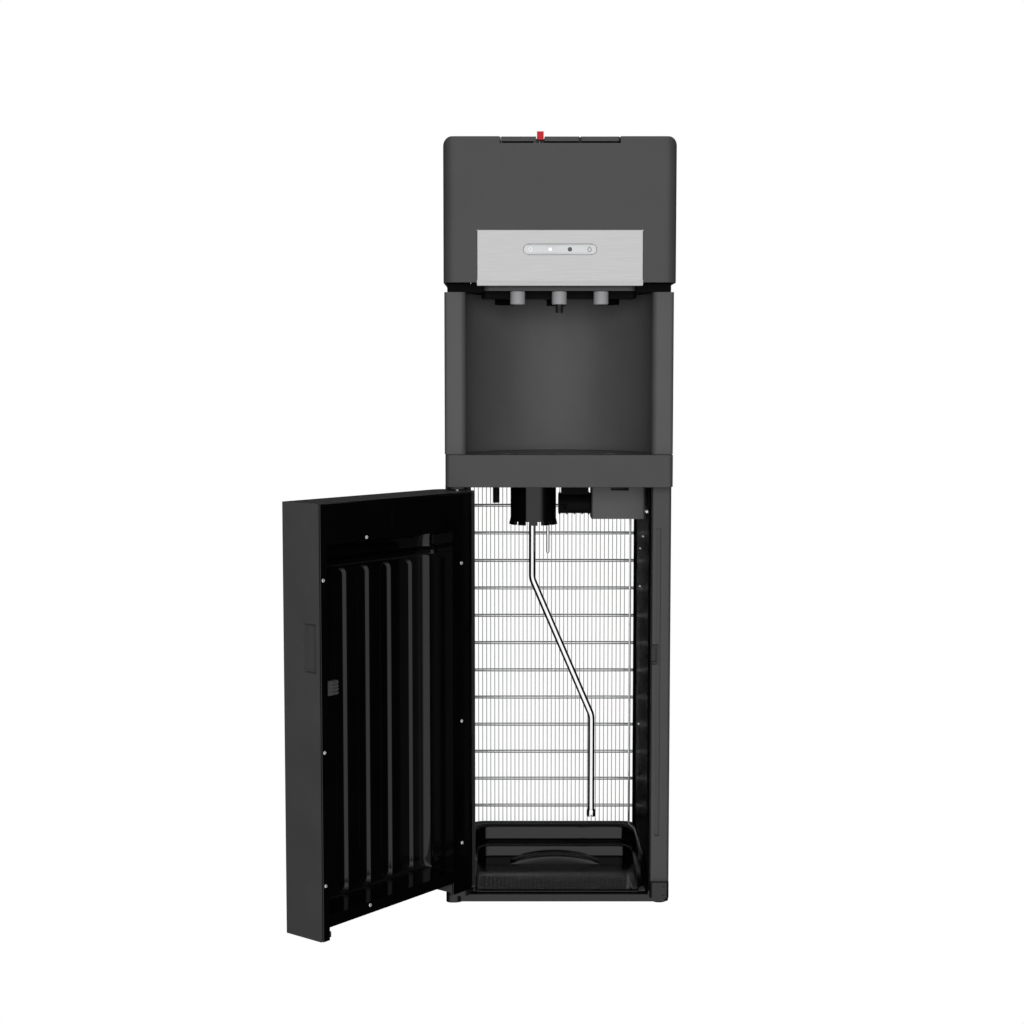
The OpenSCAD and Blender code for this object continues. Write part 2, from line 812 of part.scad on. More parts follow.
// ring of points round one point of a path, in the plane that halves the bend there
function path_dir(path, i) =
    let (a = path[max(i - 1, 0)], b = path[min(i + 1, len(path) - 1)]) (b - a) / norm(b - a);
function ring(c, d, r, n) =
    let (side = abs(d[1]) < 0.9 ? [0, 1, 0] : [1, 0, 0], u = cross(side, d) / norm(cross(side, d)), v = cross(d, u))
    [for (k = [0:n - 1]) c + r * (cos(360 * k / n) * u + sin(360 * k / n) * v)];

// closed tube swept along a path
module swept_tube(path, d, n = 16) {
    rings = [for (i = [0:len(path) - 1]) each ring(path[i], path_dir(path, i), d / 2, n)];
    last = (len(path) - 1) * n;
    polyhedron(rings, concat(
        [for (i = [0:len(path) - 2], k = [0:n - 1]) let (a = i * n + k, b = i * n + (k + 1) % n)
            [a, a + n, b + n, b]],
        [[for (k = [0:n - 1]) k]],
        [[for (k = [n - 1:-1:0]) last + k]]));
}

probe_tilt = atan((probe_low_x - probe_x) / (446 - 249));
bend_r = 26;
bend_t = bend_r * tan(probe_tilt / 2);

// arc of the probe between upright and slanted: side is 1 where its centre lies to the right
function probe_arc(cx, cz, side) = [for (a = side > 0 ? [0:probe_tilt / 4:probe_tilt + eps]
    : [probe_tilt:-probe_tilt / 4:-eps]) [cx - side * bend_r * cos(a), probe_y, cz - side * bend_r * sin(a)]];

// stainless suction tube: down, across at a slant and down again
module probe_tube() {
    path = concat(
        probe_arc(probe_x + bend_r, 446 + bend_t, 1),
        probe_arc(probe_low_x - bend_r, 249 - bend_t, -1));
    color("silver") {
        difference() {
            swept_tube(concat([[probe_x, probe_y, shelf_z - 2]], path, [[probe_low_x, probe_y, 112]]), probe_d);
            swept_tube(concat([[probe_x, probe_y, shelf_z]], path, [[probe_low_x, probe_y, 110]]),
                probe_d - 1.8, 12);
        }
        // notched foot that keeps the inlet off the bottle's floor
        difference() {
            post(probe_low_x, probe_y, 102, 111.9, 6.2);
            post(probe_low_x, probe_y, 101, 113, probe_d / 2 - 0.8);
            for (a = [0, 90]) translate([probe_low_x, probe_y, 102]) rotate(a) cube([14, 3, 5], center = true);
        }
    }
}

module float_rod() {
    color("silver") post(rod_x, probe_y, 482, shelf_z - 1, 2.35);
}

// the probe's own hose and lead, straight where they slide through the roof
module probe_hoses() {
    color("#d9dde0") {
        difference() {
            post(probe_x, probe_y, shelf_z - 1.9, shelf_z + 19.5, probe_d / 2);
            post(probe_x, probe_y, shelf_z - 3, shelf_z + 21, 3);
        }
        post(rod_x, probe_y, shelf_z - 0.9, shelf_z + 30, 1.6);
    }
}

// ---------- door ----------

module door_plan(inset) {
    rounded_rect(door_x0 + inset, door_x1 - inset, door_out_y + inset, door_in_y,
        [22 - inset, 3, 2, 14 - inset]);
}

module door_block(inset, z0, z1) {
    translate([0, 0, z0]) linear_extrude(z1 - z0) intersection() {
        door_plan(inset);
        translate([-200, door_out_y - 1]) square([400, door_t + 1 - liner_t]);
    }
}

// clearance under the door's inner edge, grown by some distance
module door_toe(grow) {
    span(dish_x0 - grow, dish_x1 + grow, door_in_y - dish_depth - 2 - grow, door_in_y + 1,
        door_z0 - 1 - grow, door_z0 + door_notch + grow);
}

module door_shell() {
    color("#3a3a3c") door_pose() difference() {
        door_block(0, door_z0, door_z1);
        difference() {
            door_block(2.6, door_z0 + 2.6, door_z1 - 2.6);
            door_toe(2.6);
            span(door_x1 - 9.8, door_x1, door_in_y - 30, door_in_y - 5, 368, 433);
            post(hinge_x, hinge_y, door_z0, door_z0 + 16, 8);
            post(hinge_x, hinge_y, door_z1 - 16, door_z1, 8);
        }
        door_toe(0);
        post(hinge_x, hinge_y, door_z0 - 1, door_z0 + 12, 4.05);
        post(hinge_x, hinge_y, door_z1 - 13, door_z1 + 1, 4.05);
        // finger pull in the free edge
        span(door_x1 - 8, door_x1 + 1, door_in_y - 28, door_in_y - 7, 370, 431);
    }
    color("#3a3a3c") door_pose() span(dish_x1 - 5, dish_x1 + 0.1, door_in_y - 6, door_in_y - liner_t - 0.1, 37, 44);
}

// deep moulded inner skin with upright grooves
module door_liner() {
    y0 = door_in_y - liner_t;
    color("#0d0d0f") door_pose() difference() {
        union() {
            translate([0, 0, door_z0 + 0.2]) linear_extrude(door_z1 - door_z0 - 0.4) intersection() {
                door_plan(0.4);
                translate([-200, y0 + 0.1]) square([400, liner_t]);
            }
            dish(0);
        }
        dish(liner_t);
        door_toe(0);
        span(dish_x1 - 4, dish_x1, door_in_y - 7.3, door_in_y + 1, catch_z - 9.3, catch_z + 9.3);
        post(hinge_x, hinge_y, door_z0 - 1, door_z0 + 17, 8.3);
        post(hinge_x, hinge_y, door_z1 - 17, door_z1 + 1, 8.3);
    }
}

// the liner's hollow: outer form at 0, inner form at the wall thickness
module dish(t) {
    top = t > 0 ? door_in_y + 1 : door_in_y - liner_t + 0.2;
    floor_y = door_in_y - dish_depth + t;
    rim = 2 * (liner_t - t);
    difference() {
        union() {
            translate([0, 0, dish_z0 + t]) linear_extrude(dish_z1 - dish_z0 - 2 * t)
                rounded_rect(dish_x0 + t, dish_x1 - t, floor_y, top, [22 - t, 8, 0, 0]);
            // round-ended grooves pressed into the floor of the hollow
            for (i = [0:3]) slot_y(door_x1 - 86 - i * groove_pitch, (groove_z[0] + groove_z[1]) / 2,
                groove_w + rim, groove_z[1] - groove_z[0] + rim, floor_y - groove_d, floor_y + 8);
        }
        if (t > 0) span(dish_x0, dish_x1, door_in_y - dish_depth, door_in_y - dish_depth + 14, 496, 503);
    }
}

// ribbed spring catch on the free side of the liner
module door_catch() {
    color("#1c1c1e") door_pose() difference() {
        union() {
            span(dish_x1 - 19, dish_x1 - 0.3, door_in_y - 7, door_in_y - 1.2, catch_z - 9, catch_z + 9);
            for (k = [-1.5:1.5]) span(dish_x1 - 18, dish_x1 - 7, door_in_y - 1.3, door_in_y + 1.1,
                catch_z + 4.2 * k - 1.1, catch_z + 4.2 * k + 1.1);
        }
        span(dish_x1 - 16, dish_x1 - 4, door_in_y - 8, door_in_y - 3.4, catch_z - 6, catch_z + 6);
    }
}

free_screws = [485, 272, 105];
hinge_screws = [484, 270, 103];

module door_screws() {
    color("#d0d0d3") door_pose() {
        for (z = free_screws) door_screw(door_x1 - 6.5, z);
        for (z = hinge_screws) door_screw(dish_x0 - 12, z);
        door_screw(door_x1 - 84, 532.5);
        door_screw(door_x1 - 86, 61.5);
    }
}

module door_screw(x, z) {
    translate([x, door_in_y, z]) rotate([-90, 0, 0]) cylinder(h = 1.1, r = 2.4);
}

base_frame();
feet();
bottle_tray();
left_side_panel();
right_side_panel();
lower_front_frame();
left_liner();
right_liner();
cabinet_screws();
door_stop();
lower_hinge_bracket();
upper_hinge_bracket();
hinge_pins();
catch_strike();
deck_plate();
drip_shelf();
alcove_panel();
nozzle_housing();
hot_nozzle();
room_nozzle();
cold_nozzle();
spout_insert();
head_shell();
top_cover();
control_panel();
indicator_window();
indicator_lights();
control_board();
button_pin();
micro_switches();
back_panel();
condenser_tube();
condenser_wires();
compressor();
cold_tank();
tank_insulation();
evaporator_coil();
hot_tank();
water_pipes();
pump_motor();
pump_box();
pump_hoses();
power_inlet();
drain_cap();
door_shell();
door_liner();
door_catch();
door_screws();
hot_button();
room_button();
cold_button();
child_lock();
drip_tray();
drip_grille();
probe_collar();
probe_tube();
float_rod();
probe_hoses();
hot_rocker();
cold_rocker();
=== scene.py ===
"""Looks of a floor-standing water dispenser with a bottle compartment behind its lower door.

The frame has X to the right, Y to the back and Z up from the floor. Shapes are worked out in millimetres and
brought to metres where a mesh is made; the camera, the lamp, the floor and all patterns are in metres.
"""
import json
import math

import bmesh
import bpy
import numpy as np
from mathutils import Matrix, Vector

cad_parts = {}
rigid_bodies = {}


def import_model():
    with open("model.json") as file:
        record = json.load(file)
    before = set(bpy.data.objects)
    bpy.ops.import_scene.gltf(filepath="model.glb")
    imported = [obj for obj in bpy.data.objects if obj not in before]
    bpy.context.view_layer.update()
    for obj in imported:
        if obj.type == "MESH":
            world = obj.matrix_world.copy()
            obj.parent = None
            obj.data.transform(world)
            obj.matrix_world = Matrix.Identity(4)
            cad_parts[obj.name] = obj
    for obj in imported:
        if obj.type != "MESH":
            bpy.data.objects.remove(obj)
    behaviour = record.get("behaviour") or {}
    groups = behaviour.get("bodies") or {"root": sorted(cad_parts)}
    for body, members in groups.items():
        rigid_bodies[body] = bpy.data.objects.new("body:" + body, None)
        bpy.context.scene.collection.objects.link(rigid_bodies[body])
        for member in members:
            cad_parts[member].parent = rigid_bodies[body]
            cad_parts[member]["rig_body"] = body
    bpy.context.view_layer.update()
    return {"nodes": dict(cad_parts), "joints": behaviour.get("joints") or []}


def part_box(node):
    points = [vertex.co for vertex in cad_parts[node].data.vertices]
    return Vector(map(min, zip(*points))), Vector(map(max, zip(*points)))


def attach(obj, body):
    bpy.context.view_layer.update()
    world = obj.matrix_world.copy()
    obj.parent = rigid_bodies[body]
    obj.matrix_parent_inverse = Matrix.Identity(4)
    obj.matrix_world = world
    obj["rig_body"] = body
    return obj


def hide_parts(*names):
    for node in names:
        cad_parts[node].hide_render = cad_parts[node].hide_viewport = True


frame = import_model()
NODES = frame["nodes"]
JOINTS = {joint["name"]: joint for joint in frame["joints"]}


# ---------- sizes read from the frame, in millimetres ----------

def box(node):
    """Lowest and highest corner of a CAD node, in millimetres."""
    low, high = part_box(node)
    return np.array(low) * 1000, np.array(high) * 1000


def corners(node):
    """All corners of a CAD node's mesh, in millimetres."""
    mesh = NODES[node].data
    flat = np.zeros(len(mesh.vertices) * 3)
    mesh.vertices.foreach_get("co", flat)
    return flat.reshape(-1, 3) * 1000


DOOR_JOINT = JOINTS["door_swing"]
HINGE = np.array(DOOR_JOINT["pos_m"], float)[:2] * 1000
DOOR_OPEN = math.radians(max(DOOR_JOINT["range_deg"]))


def turned(points, angle):
    """Points turned about the door's hinge axis: x and y are rotated by the angle, z stays."""
    flat = points[..., :2] - HINGE
    c, s = math.cos(angle), math.sin(angle)
    x = c * flat[..., 0] - s * flat[..., 1] + HINGE[0]
    y = s * flat[..., 0] + c * flat[..., 1] + HINGE[1]
    return np.stack([x, y, points[..., 2]], -1)


def opened(points):
    """Points drawn on the closed door, brought to the open rest pose."""
    return turned(points, -DOOR_OPEN)


def closed_box(node):
    """Box of a door node as if the door were closed."""
    points = turned(corners(node), DOOR_OPEN)
    return points.min(0), points.max(0)


# ---------- camera and studio ----------

STANDPOINT = (-0.0636, -2.468, 0.7375)
TILT_DOWN = math.radians(4.626)


def place_camera():
    """Stands in front and a little left of the middle, just above the drip shelf, tilted slightly down."""
    data = bpy.data.cameras.new("camera")
    data.lens = 60.5
    data.sensor_width = 36
    camera = bpy.data.objects.new("camera", data)
    camera.location = STANDPOINT
    camera.rotation_euler = (math.pi / 2 - TILT_DOWN, 0, 0)
    bpy.context.scene.collection.objects.link(camera)
    bpy.context.scene.camera = camera


def add_node(tree, kind, settings=None, values=None, links=None):
    """Adds a node, sets its properties and input values, and links sockets into its inputs."""
    made = tree.nodes.new("ShaderNode" + kind)
    for key, value in (settings or {}).items():
        setattr(made, key, value)
    for key, value in (values or {}).items():
        made.inputs[key].default_value = value
    for key, socket in (links or {}).items():
        tree.links.new(socket, made.inputs[key])
    return made


def from_to(low, high, new_low=0.0, new_high=1.0):
    """Input values with which a range node brings low..high to new_low..new_high."""
    return {"From Min": low, "From Max": high, "To Min": new_low, "To Max": new_high}


# brightness of the room in front and behind, and what is left of it at the flags and overhead
FRONT_LIGHT = 1.3
BACK_LIGHT = 0.06
SIDE_SHARE = 0.03
TOP_SHARE = 0.35
# what dull surfaces get of the room, what shiny ones see of it in the floor, and how the floor lights
# dull ones
ROOM_SHARE = 0.35
FLOOR_SHARE = 0.8
FLOOR_GLOW = 0.3
# lamp in front: watts, size and place in metres, tilt in degrees from facing straight down
LAMP_POWER = 58
LAMP_SIZE = 1.0
LAMP_PLACE = (0.0, -2.7, 0.95)
LAMP_TILT = 86
# half the floor's width, and how far it lies below the feet, in metres
FLOOR_REACH = 6.0
FLOOR_DROP = 0.0005
WHITE = {"Color": (1, 1, 1, 1)}
EASED_RANGE = {"interpolation_type": "SMOOTHSTEP"}
PRODUCT = {"operation": "MULTIPLY"}


def flagged_light(tree, direction, behind):
    """Light that comes from a direction: bright in front, given level behind, dark flags left and right."""
    axes = add_node(tree, "SeparateXYZ", links={0: direction}).outputs
    sideways = add_node(tree, "Math", {"operation": "ABSOLUTE"}, links={0: axes["X"]}).outputs[0]
    flags = add_node(tree, "MapRange", EASED_RANGE, from_to(0.5, 0.85, 1.0, SIDE_SHARE), {0: sideways})
    depth = add_node(tree, "MapRange", EASED_RANGE, from_to(-0.25, 0.25, FRONT_LIGHT, behind), {0: axes["Y"]})
    height = add_node(tree, "MapRange", EASED_RANGE, from_to(0.45, 0.95, 1.0, TOP_SHARE), {0: axes["Z"]})
    flat = add_node(tree, "Math", PRODUCT, links={0: flags.outputs[0], 1: depth.outputs[0]}).outputs[0]
    return add_node(tree, "Math", PRODUCT, links={0: flat, 1: height.outputs[0]}).outputs[0]


def light_studio():
    """White room: a broad soft light in front, a weaker one behind, dark flags left and right.

    The room itself lights dull surfaces only a little; a large lamp in front does the rest, so that deep
    places stay readable. Shiny surfaces show the room and its flags, not the lamp."""
    world = bpy.data.worlds.new("studio")
    bpy.context.scene.world = world
    world.use_nodes = True
    tree = world.node_tree
    tree.nodes.clear()
    around = flagged_light(tree, add_node(tree, "TexCoord").outputs["Generated"], BACK_LIGHT)
    rays = add_node(tree, "LightPath").outputs
    share = add_node(tree, "MapRange", None, from_to(0.0, 1.0, 1.0, ROOM_SHARE), {0: rays["Is Diffuse Ray"]})
    strength = add_node(tree, "Math", PRODUCT, links={0: around, 1: share.outputs[0]}).outputs[0]
    lit = add_node(tree, "Background", values=WHITE, links={"Strength": strength})
    seen = add_node(tree, "Background", values=WHITE)
    sides = {0: rays["Is Camera Ray"], 1: lit.outputs[0], 2: seen.outputs[0]}
    mixed = add_node(tree, "MixShader", links=sides)
    add_node(tree, "OutputWorld", links={"Surface": mixed.outputs[0]})

    lamp = bpy.data.lights.new("front_softbox", "AREA")
    lamp.size = LAMP_SIZE
    lamp.energy = LAMP_POWER
    softbox = bpy.data.objects.new("front_softbox", lamp)
    softbox.location = LAMP_PLACE
    softbox.rotation_euler = (math.radians(LAMP_TILT), 0, 0)
    softbox.visible_glossy = False
    bpy.context.scene.collection.objects.link(softbox)
    bpy.context.scene.view_settings.view_transform = "Standard"


def lay_floor():
    """Back-lit white acrylic table that fades into the white room; shiny surfaces see the room's light
    in it."""
    material = bpy.data.materials.new("white_light_table")
    material.use_nodes = True
    tree = material.node_tree
    tree.nodes.clear()
    rays = add_node(tree, "LightPath").outputs
    incoming = add_node(tree, "NewGeometry").outputs["Incoming"]
    onward = add_node(tree, "VectorMath", {"operation": "SCALE"}, {"Scale": -1.0}, {0: incoming}).outputs[0]
    mirrored = flagged_light(tree, onward, 0.0)
    shine = add_node(tree, "Math", PRODUCT, {1: FLOOR_SHARE}, {0: mirrored}).outputs[0]
    ends = {0: rays["Is Glossy Ray"], "To Max": shine}
    glow = add_node(tree, "MapRange", None, {"To Min": FLOOR_GLOW}, ends)
    seen = add_node(tree, "Emission", values=WHITE)
    lit = add_node(tree, "Emission", values=WHITE, links={"Strength": glow.outputs[0]})
    sides = {0: rays["Is Camera Ray"], 1: lit.outputs[0], 2: seen.outputs[0]}
    mixed = add_node(tree, "MixShader", links=sides)
    add_node(tree, "OutputMaterial", links={"Surface": mixed.outputs[0]})
    mesh = bpy.data.meshes.new("floor")
    corners = [(-1, -1), (1, -1), (1, 1), (-1, 1)]
    square = [(x * FLOOR_REACH, y * FLOOR_REACH, -FLOOR_DROP) for x, y in corners]
    mesh.from_pydata(square, [], [(0, 1, 2, 3)])
    mesh.materials.append(material)
    floor = bpy.data.objects.new("floor", mesh)
    bpy.context.scene.collection.objects.link(floor)


# ---------- materials ----------

def linear(colour):
    """An sRGB hex colour as linear red, green, blue and alpha."""
    parts = [int(colour[i:i + 2], 16) / 255 for i in (1, 3, 5)]
    return [c / 12.92 if c <= 0.04045 else ((c + 0.055) / 1.055) ** 2.4 for c in parts] + [1.0]


def surface_finish(name, values):
    """A new material: its node tree, its shader with the uniform values set, and Object coordinates."""
    material = bpy.data.materials.new(name)
    material.use_nodes = True
    tree = material.node_tree
    shader = tree.nodes["Principled BSDF"]
    for key, value in values.items():
        shader.inputs[key].default_value = value
    coordinates = add_node(tree, "TexCoord").outputs["Object"]
    return material, tree, shader, coordinates


def vary(tree, shader, cloud, colours, rough):
    """Lets one cloud of noise move the colour between two shades and the roughness between two values."""
    ends = [linear(c) for c in colours]
    blend = add_node(tree, "MapRange", values=from_to(0.3, 0.7), links={0: cloud}).outputs[0]
    mix = add_node(tree, "Mix", {"data_type": "RGBA"}, {6: ends[0], 7: ends[1]}, {0: blend})
    tree.links.new(mix.outputs[2], shader.inputs["Base Color"])
    worn = add_node(tree, "MapRange", values=from_to(0.3, 0.7, *rough), links={0: cloud})
    tree.links.new(worn.outputs[0], shader.inputs["Roughness"])


def roughen(tree, shader, height, depth):
    """Turns a height pattern into bump of a real depth in millimetres."""
    sizes = {"Strength": 1.0, "Distance": depth * 0.001}
    bump = add_node(tree, "Bump", values=sizes, links={"Height": height})
    tree.links.new(bump.outputs[0], shader.inputs["Normal"])


def moulded_plastic(name, colours, rough, grain, depth, values=None):
    """Injection-moulded plastic: a spark-eroded grain as bump, with faint flow clouds 70 mm across.

    The grain of a real mould is about 0.1 mm; it is drawn coarser, at a size in millimetres, to show."""
    material, tree, shader, place = surface_finish(name, values or {})
    clouds = {"Scale": 1 / 0.07, "Detail": 4.0, "Roughness": 0.6}
    cloud = add_node(tree, "TexNoise", values=clouds, links={0: place})
    vary(tree, shader, cloud.outputs[0], colours, rough)
    pits = add_node(tree, "TexNoise", values={"Scale": 1000 / grain, "Detail": 2.0}, links={0: place})
    roughen(tree, shader, pits.outputs[0], depth)
    return material


def brushed_metal(name, colours, rough, along, line, depth):
    """Metal brushed along one axis: noise drawn out 60 times that way, one line every so many millimetres.

    Real brush lines are about 0.05 mm apart; they are drawn coarser to show."""
    material, tree, shader, place = surface_finish(name, {"Metallic": 1.0})
    scale = [1000 / (line * (60 if axis == along else 1)) for axis in "XYZ"]
    drawn = add_node(tree, "Mapping", values={"Scale": scale}, links={0: place}).outputs[0]
    grain = {"Scale": 1.0, "Detail": 5.0, "Roughness": 0.7}
    lines = add_node(tree, "TexNoise", values=grain, links={0: drawn})
    vary(tree, shader, lines.outputs[0], colours, rough)
    roughen(tree, shader, lines.outputs[0], depth)
    return material


def plated_metal(name, colours, rough, spangle):
    """Plated or drawn metal: crystal spangle or drawing marks, of a width in millimetres, differ in gloss."""
    material, tree, shader, place = surface_finish(name, {"Metallic": 1.0})
    crystals = add_node(tree, "TexVoronoi", values={"Scale": 1000 / spangle}, links={0: place})
    vary(tree, shader, crystals.outputs["Color"], colours, rough)
    return material


def painted_metal(name, colours, rough, values=None):
    """Painted steel: an even coat with orange peel 1.5 mm across and 0.06 mm deep, drawn at 3 mm to show."""
    material, tree, shader, place = surface_finish(name, values or {})
    cloud = add_node(tree, "TexNoise", values={"Scale": 12.0, "Detail": 3.0}, links={0: place})
    vary(tree, shader, cloud.outputs[0], colours, rough)
    peel = add_node(tree, "TexNoise", values={"Scale": 1 / 0.003, "Detail": 1.0}, links={0: place})
    roughen(tree, shader, peel.outputs[0], 0.06)
    return material


def expanded_foam(name, colours):
    """Rigid foam: beads 4 mm across pressed together, dull and slightly translucent."""
    material, tree, shader, place = surface_finish(name, {"Specular IOR Level": 0.2})
    cells = add_node(tree, "TexVoronoi", {"feature": "F1"}, {"Scale": 1 / 0.004}, {0: place})
    beads = cells.outputs["Distance"]
    vary(tree, shader, beads, colours, (0.75, 0.95))
    roughen(tree, shader, beads, 0.8)
    return material


def clear_tubing(name, colours):
    """Silicone hose: milky and half clear, with a soft shine."""
    material, tree, shader, place = surface_finish(name, {"Transmission Weight": 0.6, "IOR": 1.41})
    cloud = add_node(tree, "TexNoise", values={"Scale": 90.0}, links={0: place})
    vary(tree, shader, cloud.outputs[0], colours, (0.3, 0.45))
    return material


def printed_board(name, colours):
    """Circuit board: green lacquer over a grid of copper tracks 2.5 mm apart."""
    material, tree, shader, place = surface_finish(name, {"Coat Weight": 0.5, "Coat Roughness": 0.1})
    tracks = add_node(tree, "TexBrick", values={"Scale": 400.0, "Mortar Size": 0.1}, links={0: place})
    vary(tree, shader, tracks.outputs["Fac"], colours, (0.35, 0.5))
    return material


# one entry for each finish, named after the real material and how it was made: two shades, two roughnesses,
# then the pattern's size and, where it is bump, its depth in millimetres
FINISH = {
    # ABS moulded in a fine-grained tool: dark grey, a soft sheen and no sharp reflection
    "graphite_abs": moulded_plastic("graphite_abs_grained", ("#3b3b3b", "#3f3f3f"), (0.36, 0.42), 2.2, 0.02,
                                    {"Specular IOR Level": 0.28}),
    # the same plastic in a finer grain for the recess behind the nozzles, a shade lighter as painted light
    # that lifts the recess's shade
    "alcove_abs_painted_light": moulded_plastic("graphite_abs_fine_grain_painted_light", ("#464646", "#4b4b4b"), (0.34, 0.42), 1.5, 0.02,
                                  {"Specular IOR Level": 0.28}),
    # the same ABS in black: soft highlights along its edges
    "satin_black_abs": moulded_plastic("black_abs_satin", ("#0b0b0c", "#0f0f10"), (0.3, 0.38), 2.0, 0.015),
    # black ABS in a coarse grain that hardly shines, darker than the satin black: painted shade for parts in
    # deep shade
    "deep_shade_black_abs": moulded_plastic("black_abs_painted_shade", ("#040404", "#060606"), (0.5, 0.6), 1.5, 0.03,
                                      {"Specular IOR Level": 0.08}),
    # high-impact polystyrene from a polished tool: deep black that mirrors its surroundings
    "gloss_black_abs": moulded_plastic("black_polystyrene_polished", ("#020202", "#040404"), (0.07, 0.13),
                                       9.0, 0.01, {"Specular IOR Level": 0.42}),
    # black inner walls with a duller, slightly wavy shine
    "liner": moulded_plastic("black_polystyrene_vacuum_formed", ("#020202", "#030303"), (0.3, 0.38),
                             12.0, 0.01, {"Specular IOR Level": 0.03}),
    # powder-coated steel sides: even charcoal with a low shine
    "painted_steel": painted_metal("charcoal_powder_coat", ("#2b2b2c", "#2f2f30"), (0.42, 0.5),
                                   {"Specular IOR Level": 0.3}),
    # zinc-plated sheet: cool grey with a faint spangle
    "galvanised_steel": plated_metal("galvanised_sheet", ("#7d8083", "#8d9093"), (0.35, 0.5), 9.0),
    # aluminium fascia brushed left to right
    "brushed_aluminium": brushed_metal("brushed_aluminium", ("#b4b4b4", "#cacaca"), (0.36, 0.5),
                                       "X", 0.9, 0.01),
    # polished stainless tube, drawn upright: a white core between dark edges
    "stainless": brushed_metal("drawn_stainless_tube", ("#f0f0f0", "#fafafa"), (0.06, 0.14), "Z", 0.9, 0.003),
    # bright zinc-plated screws
    "zinc_screw": plated_metal("bright_zinc_plate", ("#e2e2e4", "#efeff0"), (0.3, 0.4), 1.5),
    # grey ABS nozzles, satin
    "grey_nozzle": moulded_plastic("grey_abs_satin", ("#848486", "#8c8c8e"), (0.4, 0.5), 1.2, 0.02),
    # silver-lacquered polycarbonate window, smooth
    "silver_window": moulded_plastic("silver_lacquered_polycarbonate", ("#b6b7b8", "#c2c3c4"), (0.3, 0.38),
                                     3.0, 0.01, {"Metallic": 0.35}),
    # frosted light guides
    "light_lens": moulded_plastic("frosted_polycarbonate", ("#e6e6e8", "#f2f2f4"), (0.3, 0.4), 1.0, 0.02,
                                  {"Transmission Weight": 0.3}),
    # steel tube and wire in a bright silver-grey enamel: glossy
    "condenser_black": painted_metal("dipped_enamel_on_steel", ("#dedfe0", "#e8e9ea"), (0.16, 0.26),
                                     {"Metallic": 0.9}),
    # compressor shell in stoved black paint
    "compressor_black": painted_metal("stoved_black_paint", ("#0d0d0e", "#131314"), (0.3, 0.4)),
    # green lacquer over copper tracks
    "circuit_board": printed_board("green_circuit_board", ("#174a2b", "#7a6a35")),
    # foam round the cold tank: off-white and crumbly
    "white_foam": expanded_foam("expanded_foam_white", ("#e9e6dc", "#d8d4c8")),
    # natural polypropylene: waxy white
    "white_plastic": moulded_plastic("white_polypropylene", ("#d9d9da", "#e2e2e3"), (0.4, 0.5), 1.5, 0.02,
                                     {"Subsurface Weight": 0.1}),
    # soft-drawn copper with a thin tarnish
    "copper": plated_metal("drawn_copper", ("#b5713c", "#a05c2f"), (0.25, 0.4), 6.0),
    # milky silicone hose
    "clear_silicone": clear_tubing("milky_silicone", ("#d9dde0", "#e4e8ea")),
    # grey ABS cover of the pump, close to the cabinet's grey but without a sheen
    "pump_grey": moulded_plastic("grey_abs_pump_cover", ("#3e3e3f", "#444445"), (0.34, 0.42), 1.8, 0.02),
    # red and green ABS for the lock and the rear switches
    "red_plastic": moulded_plastic("red_abs", ("#a31f27", "#ad242c"), (0.25, 0.32), 1.2, 0.01,
                                   {"Specular IOR Level": 0.2}),
    "green_plastic": moulded_plastic("green_abs", ("#1f6a3a", "#257544"), (0.25, 0.32), 1.2, 0.01),
    # nitrile rubber feet: dull
    "rubber": moulded_plastic("black_nitrile_rubber", ("#0c0c0c", "#121212"), (0.75, 0.9), 1.0, 0.05,
                              {"Specular IOR Level": 0.2}),
}


# ---------- mesh tools ----------

def grid(points, wrap_rows=False, wrap_columns=False, caps=False):
    """Corners and quads of a grid of points: rows follow the first index, columns the second."""
    rows, columns = points.shape[:2]
    i, j = np.meshgrid(np.arange(rows if wrap_rows else rows - 1),
                       np.arange(columns if wrap_columns else columns - 1), indexing="ij")
    i2, j2 = (i + 1) % rows, (j + 1) % columns
    quads = np.stack([i * columns + j, i * columns + j2, i2 * columns + j2, i2 * columns + j], -1)
    faces = quads.reshape(-1, 4).tolist()
    if caps:
        faces.append(list(range(columns))[::-1])
        faces.append(list(range((rows - 1) * columns, rows * columns)))
    return points.reshape(-1, 3), faces


def joined(parts):
    """Several meshes as one list of corners and one of faces."""
    stacked, faces = [], []
    offset = 0
    for points, quads in parts:
        stacked.append(points)
        faces += [[k + offset for k in quad] for quad in quads]
        offset += len(points)
    return np.concatenate(stacked), faces


def finish_piece(mesh, name, body, finish, replaced):
    """Names a mesh as a piece of the object, gives it its finish and lets it ride on its body."""
    mesh.materials.clear()
    mesh.materials.append(FINISH[finish])
    piece = bpy.data.objects.new(name, mesh)
    bpy.context.scene.collection.objects.link(piece)
    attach(piece, body)
    if replaced:
        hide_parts(*replaced)
    return piece


def make_piece(name, shape, body, finish, replaced=(), sharp=35, outward=True):
    """A piece from corners in millimetres and faces; closed shells get their faces turned outwards."""
    points, faces = shape
    mesh = bpy.data.meshes.new(name)
    mesh.from_pydata((points * 0.001).tolist(), [], faces)
    work = bmesh.new()
    work.from_mesh(mesh)
    bmesh.ops.remove_doubles(work, verts=work.verts, dist=1e-6)
    bmesh.ops.dissolve_degenerate(work, edges=work.edges, dist=1e-7)
    if outward:
        bmesh.ops.recalc_face_normals(work, faces=work.faces)
    work.to_mesh(mesh)
    work.free()
    mesh.shade_smooth()
    mesh.set_sharp_from_angle(angle=math.radians(sharp))
    return finish_piece(mesh, name, body, finish, replaced)


def thicken(piece, thickness):
    """Gives a one-sided surface a wall in millimetres behind it."""
    wall = piece.modifiers.new("sheet", "SOLIDIFY")
    wall.thickness = thickness * 0.001
    wall.offset = -1.0


